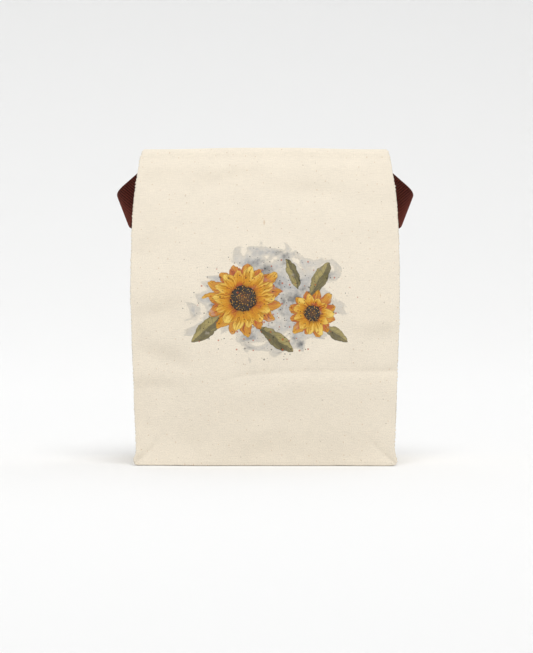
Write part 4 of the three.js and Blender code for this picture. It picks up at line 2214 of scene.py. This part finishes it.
@dataclass
class StrapRing:
    """The plain rectangular ring of bent wire that joins the strap's halves."""

    route: StrapRoute
    finishes: Finishes
    rail_gap: float = 2.4
    corner: float = 2.6
    corner_points: int = 9
    sides: int = 18
    name: str = "strap_ring"

    def outline(self) -> Array:
        """The wire's middle line.

        Returns:
            Points on the ring's own plane, in order round it.
        """
        half_x = self.route.bar_offset
        half_y = self.route.width / 2 + self.rail_gap
        points = []
        for quarter, (sign_x, sign_y) in enumerate(((1, 1), (-1, 1), (-1, -1), (1, -1))):
            start = quarter * math.pi / 2
            for angle in np.linspace(start, start + math.pi / 2, self.corner_points):
                x = sign_x * (half_x - self.corner) + self.corner * math.cos(angle)
                y = sign_y * (half_y - self.corner) + self.corner * math.sin(angle)
                points.append((x, y))
        return np.array(points)

    def build(self) -> bpy.types.Object:
        """Makes the ring.

        Returns:
            The ring's object.
        """
        route = self.route
        lean = route.sack.flap_lean
        line = self.outline()
        travel = unit(np.roll(line, -1, axis=0) - np.roll(line, 1, axis=0))
        beside = np.stack([travel[:, 1], -travel[:, 0]], axis=1)
        angle = np.linspace(0, 2 * math.pi, self.sides, endpoint=False)
        radius = route.bar / 2
        flat = line[:, None, :] + beside[:, None, :] * (radius * np.cos(angle))[None, :, None]
        lift = np.broadcast_to(radius * np.sin(angle) + route.bar_loop, flat.shape[:2])
        height = route.height + flat[..., 1] * math.cos(lean)
        y = route.sack.flap_face(height, route.clear) + lift * math.cos(lean)
        points = np.stack([flat[..., 0], y, height + lift * math.sin(lean)], axis=-1)
        faces = tube_faces(len(line), self.sides, closed=True)[:, [0, 3, 2, 1]]
        made = mesh_object(f"{self.name}_wire", points.reshape(-1, 3), faces.tolist())
        return register(made, self.finishes.steel, Slot.RING, self.name)


@dataclass(frozen=True)
class Lamp:
    """A broad soft lamp far away.

    bearing is where it stands, round from the front towards the right, height how high above the floor, and
    spread how broad it looks from the bag, all in degrees. strength is what a surface that faces it gets.
    """

    name: str
    bearing: float
    height: float
    spread: float
    strength: float

    def build(self) -> None:
        """Sets the lamp."""
        light = bpy.data.lights.new(self.name, "SUN")
        light.energy = self.strength
        light.angle = math.radians(self.spread)
        lamp = bpy.data.objects.new(self.name, light)
        lamp.rotation_euler = (math.radians(90 - self.height), 0, math.radians(self.bearing))
        bpy.context.scene.collection.objects.link(lamp)


@dataclass
class Studio:
    """A round white sweep, soft lamps and the camera."""

    floor_rings: tuple[float, ...] = (1.0, 400.0)
    floor_radius: float = 1300.0
    sweep_radius: float = 1500.0
    sweep_points: int = 24
    wall_height: float = 1900.0
    sides: int = 96
    camera_place: tuple[float, float, float] = (1.1, -1469.0, 110.0)
    lens: float = 98.32
    sensor: float = 36.0
    world_colour: Colour = (0.98, 0.985, 1.0)
    world_strength: float = 0.4
    lamps: tuple[Lamp, ...] = (Lamp("key_lamp", 6, 60, 42, 1.96), Lamp("back_lamp", 165, 50, 60, 0.7))

    def sweep(self) -> bpy.types.Object:
        """Makes the floor, which curves up into a wall all round.

        Returns:
            The sweep's object.
        """
        turn = np.linspace(0, math.pi / 2, self.sweep_points)
        radius = np.concatenate([self.floor_rings, self.floor_radius + self.sweep_radius * np.sin(turn)])
        height = np.concatenate([0 * np.array(self.floor_rings), self.sweep_radius * (1 - np.cos(turn))])
        radius = np.append(radius, radius[-1])[:, None]
        height = np.append(height, self.wall_height)[:, None]
        angle = np.linspace(0, 2 * math.pi, self.sides, endpoint=False)
        points = np.stack([radius * np.cos(angle), radius * np.sin(angle), height + 0 * angle], axis=-1)
        faces = tube_faces(len(radius), self.sides)[:, ::-1]
        centre = list(range(self.sides))
        made = mesh_object("studio_sweep", points.reshape(-1, 3), [*faces.tolist(), centre])
        made.data.materials.append(PaperFinish().material())
        return made

    def world(self) -> None:
        """Fills the studio with even light."""
        world = bpy.data.worlds.new("studio")
        world.use_nodes = True
        background = next(node for node in world.node_tree.nodes if node.type == "BACKGROUND")
        background.inputs["Color"].default_value = (*self.world_colour, 1.0)
        background.inputs["Strength"].default_value = self.world_strength
        bpy.context.scene.world = world

    def camera(self) -> None:
        """Sets the camera level with the bag, in front of it."""
        data = bpy.data.cameras.new("camera")
        data.lens = self.lens
        data.sensor_width = self.sensor
        camera = bpy.data.objects.new("camera", data)
        camera.location = Vector(self.camera_place) * MM
        camera.rotation_euler = (math.pi / 2, 0, 0)
        bpy.context.scene.collection.objects.link(camera)
        bpy.context.scene.camera = camera

    def build(self) -> None:
        """Sets up the whole studio."""
        self.camera()
        self.world()
        self.sweep()
        for lamp in self.lamps:
            lamp.build()
        bpy.context.scene.view_settings.view_transform = "Standard"


def main() -> None:
    """Builds and dresses the bag in order, and reports each piece."""
    logging.basicConfig(level=logging.INFO, format="%(name)s: %(message)s")
    Studio().build()
    sack = Sack()
    finishes = Finishes.make()
    front, back = FrontPanel(sack, finishes), BackPanel(sack, finishes)
    pieces = [front.build(), front.stitch(), back.build()]
    for side in Side:
        gusset = Gusset(sack, finishes, side, front, back)
        pieces += [gusset.build(), gusset.stitch()]
    pieces.append(BasePanel(sack, finishes, front, back).build())
    pieces.append(Seams(sack, finishes, front, back).build())
    route = StrapRoute(sack)
    for side in Side:
        strap = StrapHalf(route, finishes, side)
        pieces += [strap.build(), strap.stitch()]
    pieces.append(StrapRing(route, finishes).build())
    for piece in pieces:
        LOG.info("%s: %d faces", piece.name, len(piece.data.polygons))


if __name__ == "__main__":
    main()
